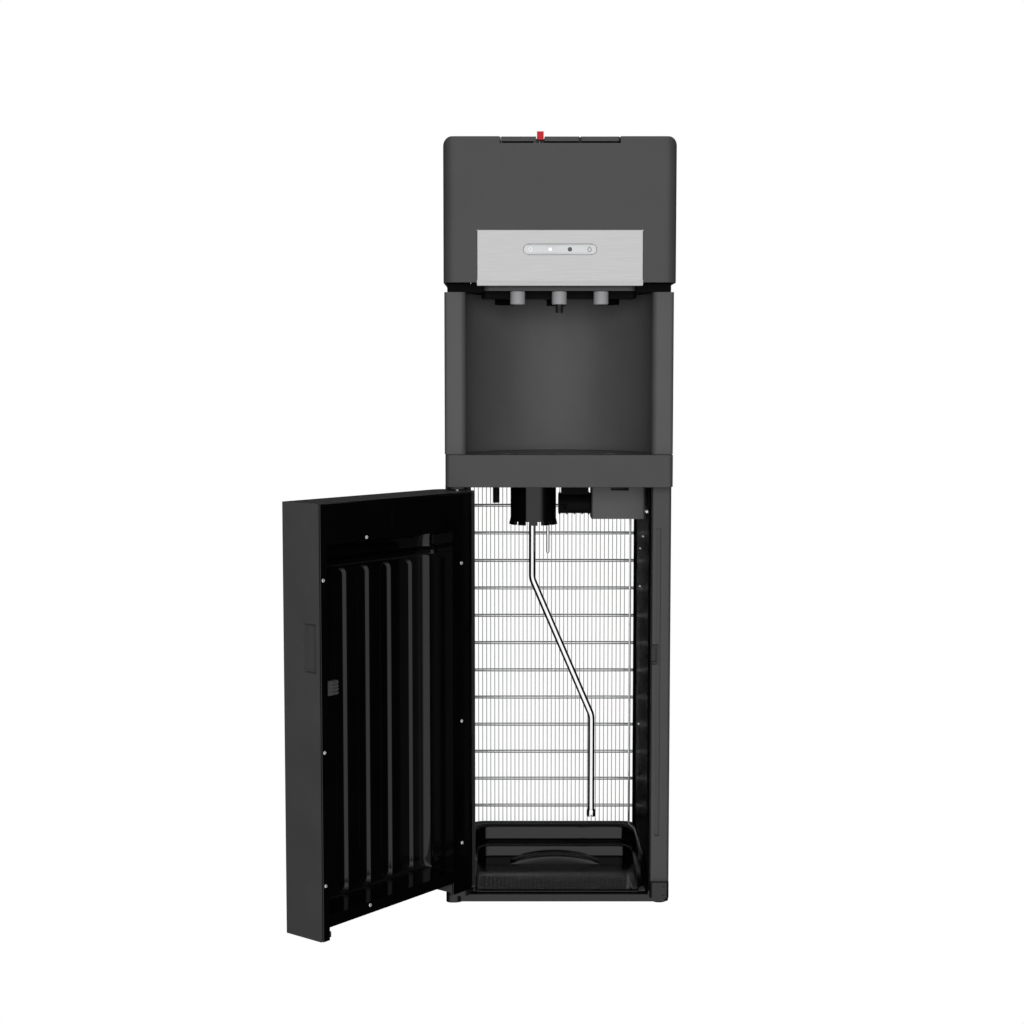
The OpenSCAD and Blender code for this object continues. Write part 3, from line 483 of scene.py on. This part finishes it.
def soften(node, radius, finish, name=None):
    """Copy of a CAD node with its triangles merged and its sharp edges rounded over."""
    source = NODES[node]
    mesh = source.data.copy()
    work = bmesh.new()
    work.from_mesh(mesh)
    bmesh.ops.remove_doubles(work, verts=work.verts, dist=2e-6)
    work.to_mesh(mesh)
    work.free()
    if "custom_normal" in mesh.attributes:
        mesh.attributes.remove(mesh.attributes["custom_normal"])
    mesh.shade_smooth()
    piece = finish_piece(mesh, name or node + "_shape", source["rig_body"], finish, [node])
    rounding = piece.modifiers.new("rounded_edges", "BEVEL")
    rounding.width = radius * 0.001
    rounding.segments = 3
    rounding.limit_method = "ANGLE"
    rounding.angle_limit = math.radians(32)
    rounding.harden_normals = True
    rounding.use_clamp_overlap = True


def keep(node, finish):
    """A CAD node that shows as it is, with its own finish."""
    materials = NODES[node].data.materials
    materials.clear()
    materials.append(FINISH[finish])


def lathe(profile, centre, sides=48, closed=False):
    """Round piece about an upright axis: profile points (radius, height) are turned once round it; a closed
    profile is a ring, an open one ends in open circles."""
    turn = np.linspace(0, 2 * math.pi, sides, endpoint=False)
    radius, height = np.array(profile, float).T
    x = centre[0] + radius[:, None] * np.cos(turn)
    y = centre[1] + radius[:, None] * np.sin(turn)
    z = centre[2] + height[:, None] + 0 * turn
    return grid(np.stack([x, y, z], -1), wrap_rows=closed, wrap_columns=True)


def sweep(path, radius, sides=16, hollow=0.0):
    """Tube along a path: each ring lies across the path's direction, turned so that rings never twist.

    A hollow tube's inner wall is the same sweep at the inner radius, joined at both ends."""
    path = np.array(path, float)
    step = np.gradient(path, axis=0)
    along = step / np.linalg.norm(step, axis=1)[:, None]
    side = np.zeros_like(path)
    start = np.array([0.0, 1.0, 0.0]) if abs(along[0, 1]) < 0.9 else np.array([1.0, 0.0, 0.0])
    for i, tangent in enumerate(along):
        start = start - tangent * (start @ tangent)
        start /= np.linalg.norm(start)
        side[i] = start
    across = np.cross(along, side)
    turn = np.linspace(0, 2 * math.pi, sides, endpoint=False)
    ring = side[:, None] * np.cos(turn)[:, None] + across[:, None] * np.sin(turn)[:, None]
    outer = path[:, None] + radius * ring
    if not hollow:
        return grid(outer, wrap_columns=True, caps=True)
    inner = path[::-1, None] + hollow * ring[::-1]
    return grid(np.concatenate([outer, inner]), wrap_rows=True, wrap_columns=True)


def arc(centre, radius, start, end, count):
    """Points on an arc, angles in degrees."""
    turn = np.radians(np.linspace(start, end, count))
    return np.stack([centre[0] + radius * np.cos(turn), centre[1] + radius * np.sin(turn)], -1)


def outline(x0, x1, y0, y1, radius):
    """Rounded rectangle, anticlockwise: four quarter arcs joined by straight sides."""
    r = max(radius, 0.01)
    centres = [(x1 - r, y0 + r, -90), (x1 - r, y1 - r, 0), (x0 + r, y1 - r, 90), (x0 + r, y0 + r, 180)]
    return np.concatenate([arc((x, y), r, start, start + 90, 6) for x, y, start in centres])


def slab(x0, x1, y0, y1, z0, z1, corner, edge):
    """Block with rounded corners and rolled edges: the outline is drawn in by edge (1 - cos a) as z rises by
    edge sin a, so each edge is a quarter circle."""
    bend = np.radians(np.linspace(0, 90, 5))
    inset = np.concatenate([edge * (1 - np.sin(bend)), edge * (1 - np.cos(bend))])
    height = np.concatenate([z0 + edge * (1 - np.cos(bend)), z1 - edge * (1 - np.sin(bend))])
    rings = []
    for draw_in, z in zip(inset, height):
        flat = outline(x0 + draw_in, x1 - draw_in, y0 + draw_in, y1 - draw_in, corner - draw_in)
        rings.append(np.column_stack([flat, np.full(len(flat), z)]))
    return grid(np.array(rings), wrap_columns=True, caps=True)


def smooth_step(x):
    """0 below 0, 1 above 1 and 3x^2 - 2x^3 between."""
    x = np.clip(x, 0, 1)
    return x * x * (3 - 2 * x)


def soft_min(a, b, blend):
    """The smaller of two values, rounded over where they meet within the blend."""
    h = np.clip(0.5 + 0.5 * (b - a) / blend, 0, 1)
    return b * (1 - h) + a * h - blend * h * (1 - h)


# ---------- alcove, nozzles and fascia ----------

def build_alcove():
    """Concave back wall between two pillars: a plan line of front faces, fillets and one wide arc
    y = m + sqrt(R^2 - x^2), carried straight up, with its own line one wall behind. Three slots pass
    through it as painted shadow: dark openings where the nozzles' shadows fall on the wall."""
    low, high = box("alcove_panel")
    half, front = high[0], low[1]
    wall, fillet, edge_radius, mouth, pillar_back = 3, 8.0, 5, 125, -90
    # three slots of painted shadow: dark openings where the nozzles' shadows fall on the wall
    shadow_slot_centres, shadow_slot_half, shadow_slot_z = (-74, 0, 74), 14, (833.0, 842.7)
    back = high[1] - wall
    sag = back - front
    radius = (mouth ** 2 + sag ** 2) / (2 * sag)
    middle = back - radius
    # where the wide arc meets the fillet: their centres are R + r apart
    rise = front + fillet - middle
    reach = math.sqrt((radius + fillet) ** 2 - rise ** 2)
    lean = math.degrees(math.atan2(rise, reach))
    edge = radius * math.cos(math.radians(lean))
    shadow_slots = [(x - shadow_slot_half, x + shadow_slot_half) for x in shadow_slot_centres]
    across = np.unique(np.concatenate([edge * np.cos(np.linspace(0, math.pi, 57)), np.ravel(shadow_slots)]))
    bowl = np.column_stack([across, middle + np.sqrt(radius ** 2 - across ** 2)])
    outer = np.column_stack([across, middle + np.sqrt((radius + wall) ** 2 - across ** 2)])
    right = np.concatenate([arc((reach, front + fillet), fillet, 180 + lean, 270, 8)[1:],
                            arc((half - edge_radius, front + edge_radius), edge_radius, -90, 0, 6),
                            [(half, pillar_back), (half - wall, pillar_back), (half - 4, front + 4)]])
    left = right[::-1] * (-1, 1)
    plan = np.concatenate([bowl, right, outer[::-1], left])
    columns = len(plan)
    levels = [np.column_stack([plan, np.full(columns, z)]) for z in (low[2], *shadow_slot_z, high[2])]
    points, faces = grid(np.array(levels), wrap_columns=True, caps=True)
    # a slot takes out the faces between its two levels, front and back, and gets four walls instead
    count = len(across)
    mirror = count + len(right) + count - 1
    removed, added = set(), []
    for x0, x1 in shadow_slots:
        first, last = np.searchsorted(across, [x0 - 0.01, x1 - 0.01])
        for i in range(first, last):
            removed |= {columns + i, columns + mirror - i - 1}
            for ring in (columns, 2 * columns):
                added.append([ring + i, ring + i + 1, ring + mirror - i - 1, ring + mirror - i])
        for i in (first, last):
            added.append([columns + i, 2 * columns + i, 2 * columns + mirror - i, columns + mirror - i])
    faces = [face for k, face in enumerate(faces) if k not in removed] + added
    # the wall's grey is painted a shade lighter than the cabinet's: painted light against the shade of the
    # recess
    make_piece("alcove_wall", (points, faces), "cabinet", "alcove_abs_painted_light", ["alcove_panel"])


def build_nozzle(node, name):
    """Round outlet: a straight barrel with a rolled lower lip and a wide mouth, turned about its axis."""
    low, high = box(node)
    centre = (low[:2] + high[:2]) / 2
    r = (high[0] - low[0]) / 2
    roll = 1.5
    lip = [(r - roll + roll * math.sin(a), roll - roll * math.cos(a)) for a in np.linspace(0, math.pi / 2, 6)]
    body = [(6, 16), (6, 0.8), (6.8, 0)] + lip + [(r, 21), (5, 21), (5, 37), (3, 37), (3, 16)]
    make_piece(name, lathe(body, (*centre, low[2]), closed=True), "cabinet", "grey_nozzle", [node])


def build_spout_insert():
    """Thin black outlet in the middle nozzle: a tube whose lower end is slit across."""
    low, high = box("spout_insert")
    centre = (low[:2] + high[:2]) / 2
    outer, inner, length, slit_half, slit_height = 5.0, 3.2, 26, 1.1, 8.0
    turn = np.linspace(0, 2 * math.pi, 48, endpoint=False)
    slit = np.where(np.abs(np.cos(turn)) * outer < slit_half, slit_height, 0.0)
    # rows: radius, height, and whether the slit lifts it
    radii, heights, lifted = np.array([(outer - 0.4, 0, 1), (outer, 0.5, 1), (outer, length, 0),
                                       (inner, length, 0), (inner, 0.5, 1)]).T
    x = centre[0] + radii[:, None] * np.cos(turn)
    y = centre[1] + radii[:, None] * np.sin(turn)
    z = low[2] + heights[:, None] + lifted[:, None] * slit
    tube = grid(np.stack([x, y, z], -1), wrap_rows=True, wrap_columns=True)
    make_piece("spout_tube", tube, "cabinet", "satin_black_abs", ["spout_insert"])


def build_nozzle_housing():
    """Neck and hanging rim in black, painted shade for the gap under the head and the rim's downturned edge,
    with a grey band round the front that the nozzles come out of.
    """
    low, high = box("nozzle_housing")
    # the housing is shown black as painted shade; only its front band keeps the cabinet's grey
    soften("nozzle_housing", 1.6, "deep_shade_black_abs", name="nozzle_housing_rim_painted_shade")
    half, back, corner = 101.3, -86, 9
    band = slab(-half, half, low[1] - 0.3, back, high[2] - 10.4, high[2] - 1.2, corner, 1.0)
    make_piece("nozzle_housing_band", band, "cabinet", "graphite_abs")


def stadium(direction, half, height):
    """Distance from the centre to a round-ended slot along each direction: flat sides h / |sin|, else the
    end's circle a |cos| + sqrt(h^2 - a^2 sin^2), where a is the half length of the straight part."""
    a = half - height
    c, s = np.abs(np.cos(direction)), np.abs(np.sin(direction))
    on_side = c * height <= a * s
    reach = a * c + np.sqrt(np.maximum(height ** 2 - (a * s) ** 2, 0))
    return np.where(on_side, height / np.maximum(s, 1e-9), reach)


def rectangle(direction, left, right, down, up):
    """Distance from the centre to an upright rectangle's sides along each direction."""
    c, s = np.cos(direction), np.sin(direction)
    flat = np.where(c > 0, right, left) / np.maximum(np.abs(c), 1e-9)
    steep = np.where(s > 0, up, down) / np.maximum(np.abs(s), 1e-9)
    return np.minimum(flat, steep)


def around_centre(x, z, angles, rings):
    """Closed rings in upright planes: each is a distance along every angle from a centre, and a depth."""
    return np.array([np.column_stack([x + reach * np.cos(angles), np.full(len(angles), y),
                                      z + reach * np.sin(angles)]) for reach, y in rings])


def build_fascia():
    """Brushed plate as rings round its window: from the slot's wall over a small lip, out over the flat
    face to thin bevels on three sides and a deeper one along the bottom, and back behind."""
    low, high = box("control_panel")
    slot_low, slot_high = box("indicator_window")
    x, z = (slot_low[0] + slot_high[0]) / 2, (slot_low[2] + slot_high[2]) / 2
    half, height = (slot_high[0] - slot_low[0]) / 2, (slot_high[2] - slot_low[2]) / 2
    front, back = low[1], -170.05
    side, down, up = high[0] - x, z - low[2], high[2] - z
    corner_turns = [math.atan2(v, h) for h, v in [(side, up), (-side, up), (-side, -down), (side, -down)]]
    around = np.linspace(-math.pi, math.pi, 144, endpoint=False)
    around = np.sort(np.concatenate([around, corner_turns]))
    # growth of the slot and depth
    slot_rings = [(0.2, back), (0.2, front + 0.6), (0.45, front + 0.2), (1.0, front), (1.6, front)]
    # inset of the rectangle, inset at its bottom, and depth
    edge_rings = [(2.4, 7.2, front), (1.6, 6.2, front), (0.7, 5.6, front + 0.15), (0.0, 0.4, front + 0.9),
                  (0.0, 0.0, front + 1.2), (0.0, 0.0, back)]
    rings = [(stadium(around, half + grow, height + grow), y) for grow, y in slot_rings]
    rings += [(rectangle(around, side - inset, side - inset, down - foot, up - inset), y)
              for inset, foot, y in edge_rings]
    plate = grid(around_centre(x, z, around, rings), wrap_rows=True, wrap_columns=True)
    make_piece("fascia_plate", plate, "cabinet", "brushed_aluminium", ["control_panel"], sharp=20)

    # window: a shallow crowned lens that fills the slot
    rim = stadium(around, half - 0.1, height - 0.1)
    crown = [(0.0, front + 0.55), (0.5, front + 0.6), (0.9, front + 0.75), (1.0, front + 1.1), (1.0, back)]
    lens = around_centre(x, z, around, [(share * rim, y) for share, y in crown])
    make_piece("indicator_lens", grid(lens, wrap_columns=True, caps=True), "cabinet", "silver_window",
               ["indicator_window"])


def ring_mark(x, z, y, outer, inner, pull=0.0):
    """Flat ring facing the front; pull draws its top out to the point of a drop."""
    turn = np.linspace(0, 2 * math.pi, 40, endpoint=False)
    rings = [(inner, y + 0.2), (inner, y), (outer, y), (outer, y + 0.2)]
    points = around_centre(x, z, turn, rings)
    points[..., 2] += pull * np.maximum(np.sin(turn), 0) ** 4 * np.sin(turn)
    return grid(points, wrap_rows=True, wrap_columns=True)


def build_window_marks():
    """Four plain indicator marks under the lens: two pale rings, a dark disc and a drop outline."""
    low, high = box("indicator_window")
    z = (low[2] + high[2]) / 2
    y = box("control_panel")[0][1] + 0.42
    pitch = 26
    pale = joined([ring_mark(-1.5 * pitch, z, y, 2.6, 1.6), ring_mark(-0.5 * pitch, z, y, 2.4, 0.3)])
    make_piece("pale_marks", pale, "cabinet", "light_lens")
    dark = joined([ring_mark(0.5 * pitch, z, y, 2.9, 0.2), ring_mark(1.5 * pitch, z - 0.6, y, 2.7, 1.9, 1.6)])
    make_piece("dark_marks", dark, "cabinet", "pump_grey")


# ---------- bottle compartment ----------

PAN_FLOOR = 14.4
PAN_LEDGE = 30.0
LINER_BACK = 150


def tray_ring(half, back, corner, z, front):
    """U-shaped line open to the front: straight side, quarter arc, back, quarter arc, straight side."""
    side = np.column_stack([np.full(14, -half), np.linspace(front, back - corner, 14)])
    left = np.concatenate([side, arc((-half + corner, back - corner), corner, 180, 90, 10)])
    rear = np.column_stack([np.linspace(-half + corner, half - corner, 14), np.full(14, back)])
    flat = np.concatenate([left, rear, left[::-1] * (-1, 1)])
    return np.column_stack([flat, np.full(len(flat), z)])


def build_tray():
    """Drip pan: U-shaped rings from the floor's middle line over two filleted walls and two ledges to the
    rim, each ring held under a line that falls towards the front."""
    low, high = box("bottle_tray")
    half, front, back, rim = high[0], low[1], high[1], high[2]
    # half width, back, corner radius and height of each ring
    rings = [(104, 55, 12, PAN_FLOOR), (104, 55, 12, PAN_FLOOR), (111, 64, 16, PAN_FLOOR),
             (112.4, 65.4, 17, PAN_FLOOR + 0.6), (113, 66, 18, PAN_FLOOR + 2),
             (113.4, 66.6, 18.5, PAN_LEDGE - 2.5), (114, 67.2, 19, PAN_LEDGE - 0.8),
             (115.4, 68.6, 20, PAN_LEDGE), (117.2, 98, 24, PAN_LEDGE), (118.4, 101, 25, PAN_LEDGE + 0.8),
             (119, 102, 25.5, PAN_LEDGE + 2.6), (119.4, 102.6, 26, rim - 3), (120, 103.2, 26.4, rim - 0.9),
             (121.5, 104.6, 27, rim), (half, back - 0.2, 20, rim), (half, back, 20, rim - 1),
             (half, back, 20, 12.2)]
    points = np.array([tray_ring(*ring, front) for ring in rings])
    # the first ring closes up into the middle line
    points[0, :, 0] = 0.0
    fall = np.interp(points[..., 1], [front, -100, -75, -40], [PAN_FLOOR + 0.4, PAN_FLOOR + 2.6, 34, rim])
    points[..., 2] = np.minimum(points[..., 2], fall)
    pan = make_piece("bottle_tray_pan", grid(points), "cabinet", "gloss_black_abs", ["bottle_tray"],
                     sharp=50, outward=False)
    thicken(pan, 1.8)


def build_bottle_stop():
    """Arched stop on the pan: its height falls from the middle as (1 - (x / half width)^2)^0.85, and each
    cross-section rises over a rounded front to a flat top and drops behind."""
    half, height, front, depth = 66.0, 12.0, 23.0, 28.0
    x = np.linspace(-half, half, 49)
    arch = height * np.maximum(1 - (x / half) ** 2, 0.0) ** 0.85
    # distance back from the front, and share of the arch's height
    section = np.array([(0, -0.4), (0.1, 0.0), (0.35, 0.75), (0.8, 0.93), (2.0, 1.0), (depth * 0.5, 1.03),
                        (depth - 2, 1.0), (depth - 0.6, 0.9), (depth, 0.6), (depth + 1.5, 0.0),
                        (depth + 1.5, -0.4)])
    back, share = section[:, :1], section[:, 1:]
    shape = np.stack([x + 0 * back, front + back + 0 * x, PAN_FLOOR - 0.05 + share * arch], -1)
    make_piece("bottle_stop", grid(shape, wrap_rows=True, caps=True), "cabinet", "gloss_black_abs")


def build_probe():
    """Stainless suction tube: upright, slanted and upright again, with two arcs of equal radius between."""
    low, high = box("probe_tube")
    radius, bore, foot_radius = 4.65, 3.75, 6.3
    bend, upper, lower, foot_top = 26.0, 446.0, 249.0, 112
    x0, y0 = low[0] + radius, (low[1] + high[1]) / 2
    x1 = high[0] - foot_radius + 0.1
    tilt = math.atan((x1 - x0) / (upper - lower))
    cut = bend * math.tan(tilt / 2)
    angle = np.linspace(0, tilt, 9)
    first = np.column_stack([x0 + bend - bend * np.cos(angle), upper + cut - bend * np.sin(angle)])
    second = np.column_stack([x1 - bend + bend * np.cos(angle), lower - cut + bend * np.sin(angle)])[::-1]
    line = np.concatenate([[(x0, high[2])], first, second, [(x1, foot_top)]])
    path = np.column_stack([line[:, 0], np.full(len(line), y0), line[:, 1]])
    profile = [(3.9, 0), (6.0, 0), (foot_radius, 0.6), (foot_radius, 8.5), (4.8, 10.5), (3.9, 10.5)]
    foot = lathe(profile, (x1, y0, low[2]), closed=True)
    # four notches in the foot's lower edge
    corner = foot[0]
    turn = np.arctan2(corner[:, 1] - y0, corner[:, 0] - x1)
    corner[:, 2] += np.where((np.abs(np.sin(2 * turn)) < 0.42) & (corner[:, 2] < low[2] + 1), 2.6, 0)
    tube = joined([sweep(path, radius, 28, bore), foot])
    make_piece("suction_tube", tube, "probe", "stainless", ["probe_tube"], sharp=40)


def build_float_rod():
    """Level sensor: a thin straight rod with a rounded end."""
    low, high = box("float_rod")
    x, y, r = (low[0] + high[0]) / 2, (low[1] + high[1]) / 2, (high[0] - low[0]) / 2
    tip = [(r * math.sin(a), r - r * math.cos(a)) for a in np.linspace(0.15, math.pi / 2, 5)]
    make_piece("level_rod", lathe(tip + [(r, high[2] - low[2])], (x, y, low[2]), 20), "probe", "stainless",
               ["float_rod"], sharp=50)


def build_condenser():
    """One tube that runs to and fro with quarter bends at each end, and upright wires across it."""
    low, high = box("condenser_tube")
    r, rows, bend = 2.4, 12, 7.0
    y = (low[1] + high[1]) / 2
    reach = high[0] - r
    first = low[2] + r
    pitch = (high[2] - low[2] - 2 * r) / (rows - 1)
    path = []
    for i in range(rows):
        side = 1 if i % 2 == 0 else -1
        z = first + i * pitch
        path.append([(-side * (reach - bend), z)])
        if i < rows - 1:
            lower = arc((0, z + bend), bend, -90, 0, 6)
            upper = arc((0, z + pitch - bend), bend, 0, 90, 6)
            ends = np.concatenate([lower, upper])
            path.append(np.column_stack([side * (reach - bend + ends[:, 0]), ends[:, 1]]))
        else:
            path.append([(side * (reach - bend), z)])
    line = np.concatenate(path)
    tube = sweep(np.column_stack([line[:, 0], np.full(len(line), y), line[:, 1]]), r, 12)
    make_piece("condenser_coil", tube, "cabinet", "condenser_black", ["condenser_tube"], sharp=60)
    low, high = box("condenser_wires")
    wire, count, strap, gap = 0.55, 39, 3.4, 6.7
    y = (low[1] + high[1]) / 2
    centres = np.linspace(low[0] + 0.7, high[0] - strap - gap, count)
    wires = [sweep([(x, y, low[2]), (x, y, high[2])], wire, 8) for x in centres]
    wires.append(slab(high[0] - strap, high[0], low[1], high[1], low[2], high[2], 0.6, 0.3))
    make_piece("condenser_wire_grid", joined(wires), "cabinet", "condenser_black", ["condenser_wires"],
               sharp=60)


def screw_head(place, facing, radius, rise):
    """Pan head with a cross recess: a dome h(r) = rise sqrt(1 - (0.92 r / R)^2), lowered along two crossed
    slots. It stands on a place and faces a level direction."""
    turn = np.linspace(0, 2 * math.pi, 32, endpoint=False)
    share = np.array([0.0, 0.12, 0.3, 0.5, 0.72, 0.9, 1.0, 1.0])
    height = rise * np.sqrt(np.maximum(1 - (share * 0.92) ** 2, 0))
    height[-1] = 0.0
    u = radius * share[:, None] * np.cos(turn)
    v = radius * share[:, None] * np.sin(turn)
    slot = (np.minimum(np.abs(u), np.abs(v)) < radius * 0.14) & (np.hypot(u, v) < radius * 0.62)
    lift = height[:, None] - np.where(slot, rise * 0.5, 0)
    facing = np.array(facing, float)
    upward = np.array([0, 0, 1.0])
    side = np.cross(facing, upward)
    points = np.array(place) + u[..., None] * side + v[..., None] * upward + lift[..., None] * facing
    return grid(points, wrap_columns=True, caps=True)


def solid_boxes(node):
    """Lowest and highest corner of each separate solid in a node."""
    work = bmesh.new()
    work.from_mesh(NODES[node].data)
    bmesh.ops.remove_doubles(work, verts=work.verts, dist=2e-6)
    seen, spots = set(), []
    for start in work.verts:
        if start.index in seen:
            continue
        group, queue = [], [start]
        seen.add(start.index)
        while queue:
            vert = queue.pop()
            group.append(tuple(vert.co))
            for edge in vert.link_edges:
                other = edge.other_vert(vert)
                if other.index not in seen:
                    seen.add(other.index)
                    queue.append(other)
        points = np.array(group) * 1000
        spots.append((points.min(0), points.max(0)))
    work.free()
    return spots


def build_cabinet_screws():
    """Screws of the liners face inwards, and those of the back face the rear."""
    heads = []
    head_height = 1.1
    for low, high in solid_boxes("cabinet_screws"):
        x, y, z = (low + high) / 2
        radius = (high[2] - low[2]) / 2
        if low[1] > LINER_BACK:
            heads.append(screw_head((x, low[1], z), (0, 1, 0), (high[0] - low[0]) / 2, 1.5))
        elif x < 0:
            heads.append(screw_head((high[0] - head_height, y, z), (1, 0, 0), radius, radius * 1.6))
        else:
            heads.append(screw_head((low[0] + head_height, y, z), (-1, 0, 0), radius, radius * 1.6))
    make_piece("liner_and_back_screws", joined(heads), "cabinet", "zinc_screw", ["cabinet_screws"], sharp=45)


def build_hoses():
    """Hoses that come up from the compartment, bend back over 12 mm arcs and end under the drip shelf."""
    tubes = []
    r, wall = 12.0, 1.4
    turn = np.radians(np.linspace(0, 90, 9))
    for low, high in solid_boxes("pump_hoses"):
        outer = (high[0] - low[0]) / 2
        x, y, top = (low[0] + high[0]) / 2, low[1] + outer, high[2] - outer
        bend = np.column_stack([np.full(9, x), y + r - r * np.cos(turn), top - r + r * np.sin(turn)])
        path = np.concatenate([[(x, y, low[2])], bend, [(x, high[1], top)]])
        tubes.append(sweep(path, outer, 20, outer - wall))
    make_piece("hoses", joined(tubes), "cabinet", "rubber", ["pump_hoses"], sharp=50)


# ---------- door ----------

def wall_profile(x, low, high, depth, low_fillet, high_fillet, draft=1.2):
    """Depth of a trough across one direction: straight drafted walls, then quarter-circle fillets into a
    floor."""
    def one_wall(distance, fillet):
        slope = distance / draft * (depth - fillet)
        into = np.clip(distance - draft, 0, fillet)
        curve = depth - fillet + np.sqrt(np.maximum(fillet ** 2 - (fillet - into) ** 2, 0))
        return np.where(distance < draft, np.maximum(slope, 0), curve)
    return np.minimum(one_wall(x - low, low_fillet), one_wall(high - x, high_fillet))


def fine_lines(ends, step, dense):
    """Grid lines between two ends at an even step, with more lines close around each dense place."""
    offsets = np.array([-6, -3, -1.2, -0.6, -0.3, 0, 0.3, 0.6, 1.2, 1.5, 1.9, 2.4, 3, 3.8, 5, 6.5, 8.5, 11])
    lines = [np.arange(ends[0], ends[1], step), [ends[1]]]
    for place, way in dense:
        lines.append(place + way * offsets)
    every = np.unique(np.round(np.concatenate(lines), 3))
    every = every[(every >= ends[0]) & (every <= ends[1])]
    return every[np.concatenate([[True], np.diff(every) > 0.12])]


def build_door_liner():
    """Deep inner skin as a height field over the closed door: flange at depth 0, one large hollow whose depth
    is the rounded smaller of its profiles across and up, four round-ended grooves sunk in its floor and a
    cross ridge on it."""
    low, high = closed_box("door_liner")
    x_hinge, x_free, face = low[0], high[0], high[1]
    left, right, bottom, top, depth = x_hinge + 49, x_free - 12.6, 66.0, 528.0, 50.0
    notch_top, shell_edge, shell_corner = 50.7, 6.2, 13.6
    first_groove, groove_pitch, groove_half, groove_depth = x_free - 85.8, 42, 10.2, 4.2
    groove_middle, groove_reach = 279.5, 201
    ridge_middle, ridge_half, ridge_height = 499.5, 6, 15
    xs = fine_lines((x_hinge + shell_edge, x_free), 1.7, [(left, 1), (right, -1)])
    zs = fine_lines((low[2], high[2]), 3.2,
                    [(bottom, 1), (top, -1), (503, -1), (notch_top, 1), (69, 1), (488, -1)])
    x, z = np.meshgrid(xs, zs, indexing="ij")
    across = wall_profile(x, left, right, depth, 20, 8)
    upright = wall_profile(z, bottom, top, depth, 12, 16)
    hollow = np.maximum(soft_min(across, upright, 9.0), 0)
    grooves = np.zeros_like(x)
    for i in range(4):
        past_end = np.maximum(np.abs(z - groove_middle) - groove_reach, 0)
        away = np.hypot(x - first_groove + groove_pitch * i, past_end)
        grooves = np.maximum(grooves, groove_depth * smooth_step((groove_half - away) / 3.4))
    ridge = ridge_height * smooth_step((ridge_half - np.abs(z - ridge_middle)) / 3.5)
    depths = hollow + (grooves - ridge) * smooth_step((hollow - 30) / 14)
    # rounded inner edge on the hinge side, which follows the shell's corner
    over = np.clip(x_hinge + shell_corner - x, 0, shell_corner)
    depths += shell_corner - np.sqrt(shell_corner ** 2 - over ** 2)
    # small corner mark moulded into the band above the hollow: an upright and a level bar
    upright_bar = np.maximum(np.abs(x - 20), np.abs(z - 549) - 8)
    level_bar = np.maximum(np.abs(x - 6) - 15, np.abs(z - 557))
    depths -= 0.5 * smooth_step((1.6 - np.minimum(upright_bar, level_bar)) / 0.8)
    points, faces = grid(opened(np.stack([x, face - depths, z], -1)))
    # the notch at the foot is left open
    x_mid, z_mid = (xs[1:] + xs[:-1]) / 2, (zs[1:] + zs[:-1]) / 2
    in_notch = ((x_mid > left)[:, None] & (x_mid < right)[:, None]) & (z_mid < notch_top)[None]
    faces = [face for face, cut in zip(faces, in_notch.ravel()) if not cut]
    skin = make_piece("door_inner_skin", (points, faces), "door", "gloss_black_abs", ["door_liner"],
                      sharp=60, outward=False)
    thicken(skin, 1.8)


def build_door_screws():
    """Screws of the door's inner skin, all facing the compartment."""
    heads = []
    facing = (math.sin(DOOR_OPEN), math.cos(DOOR_OPEN), 0)
    for low, high in solid_boxes("door_screws"):
        middle = turned((low + high) / 2, DOOR_OPEN)
        place = opened(middle - (0, 0.55, 0))
        heads.append(screw_head(place, facing, (high[2] - low[2]) / 2, 1.4))
    make_piece("door_skin_screws", joined(heads), "door", "zinc_screw", ["door_screws"], sharp=45)


# ---------- build ----------

place_camera()
light_studio()
lay_floor()

build_alcove()
for nozzle in ("hot", "room", "cold"):
    build_nozzle(nozzle + "_nozzle", nozzle + "_outlet")
build_spout_insert()
build_nozzle_housing()
build_fascia()
build_window_marks()
build_tray()
build_bottle_stop()
build_probe()
build_float_rod()
build_condenser()
build_cabinet_screws()
build_hoses()
build_door_liner()
build_door_screws()

# CAD nodes whose form is right and only needs its edges eased: node, edge radius in millimetres, finish
EASED = [
    ("base_frame", 0.8, "satin_black_abs"), ("feet", 0.6, "rubber"),
    ("left_side_panel", 0.3, "painted_steel"), ("right_side_panel", 0.3, "painted_steel"),
    ("lower_front_frame", 1.0, "graphite_abs"),
    ("left_liner", 0.4, "liner"), ("right_liner", 0.4, "liner"),
    ("door_stop", 1.0, "satin_black_abs"), ("lower_hinge_bracket", 1.0, "satin_black_abs"),
    ("upper_hinge_bracket", 0.5, "satin_black_abs"), ("catch_strike", 0.4, "satin_black_abs"),
    ("drip_shelf", 1.6, "graphite_abs"), ("head_shell", 1.0, "graphite_abs"),
    ("top_cover", 0.8, "satin_black_abs"), ("back_panel", 0.3, "painted_steel"),
    ("pump_motor", 0.4, "deep_shade_black_abs"), ("pump_box", 0.8, "pump_grey"),
    ("power_inlet", 0.6, "satin_black_abs"), ("drain_cap", 0.5, "white_plastic"),
    ("door_shell", 1.0, "graphite_abs"), ("door_catch", 0.3, "graphite_abs"),
    ("hot_button", 0.6, "graphite_abs"), ("room_button", 0.6, "graphite_abs"),
    ("cold_button", 0.6, "graphite_abs"), ("child_lock", 0.8, "red_plastic"),
    ("drip_tray", 0.6, "satin_black_abs"), ("drip_grille", 0.5, "graphite_abs"),
    ("probe_collar", 0.6, "gloss_black_abs"),
    ("hot_rocker", 0.8, "red_plastic"), ("cold_rocker", 0.8, "green_plastic"),
]
for node, radius, finish in EASED:
    soften(node, radius, finish)

# CAD nodes inside the cabinet, shown as they are
INSIDE = {
    "hinge_pins": "stainless", "deck_plate": "galvanised_steel", "indicator_lights": "light_lens",
    "control_board": "circuit_board", "button_pin": "stainless", "micro_switches": "satin_black_abs",
    "compressor": "compressor_black", "cold_tank": "stainless", "tank_insulation": "white_foam",
    "evaporator_coil": "copper", "hot_tank": "stainless", "water_pipes": "clear_silicone",
    "probe_hoses": "clear_silicone",
}
for node, finish in INSIDE.items():
    keep(node, finish)
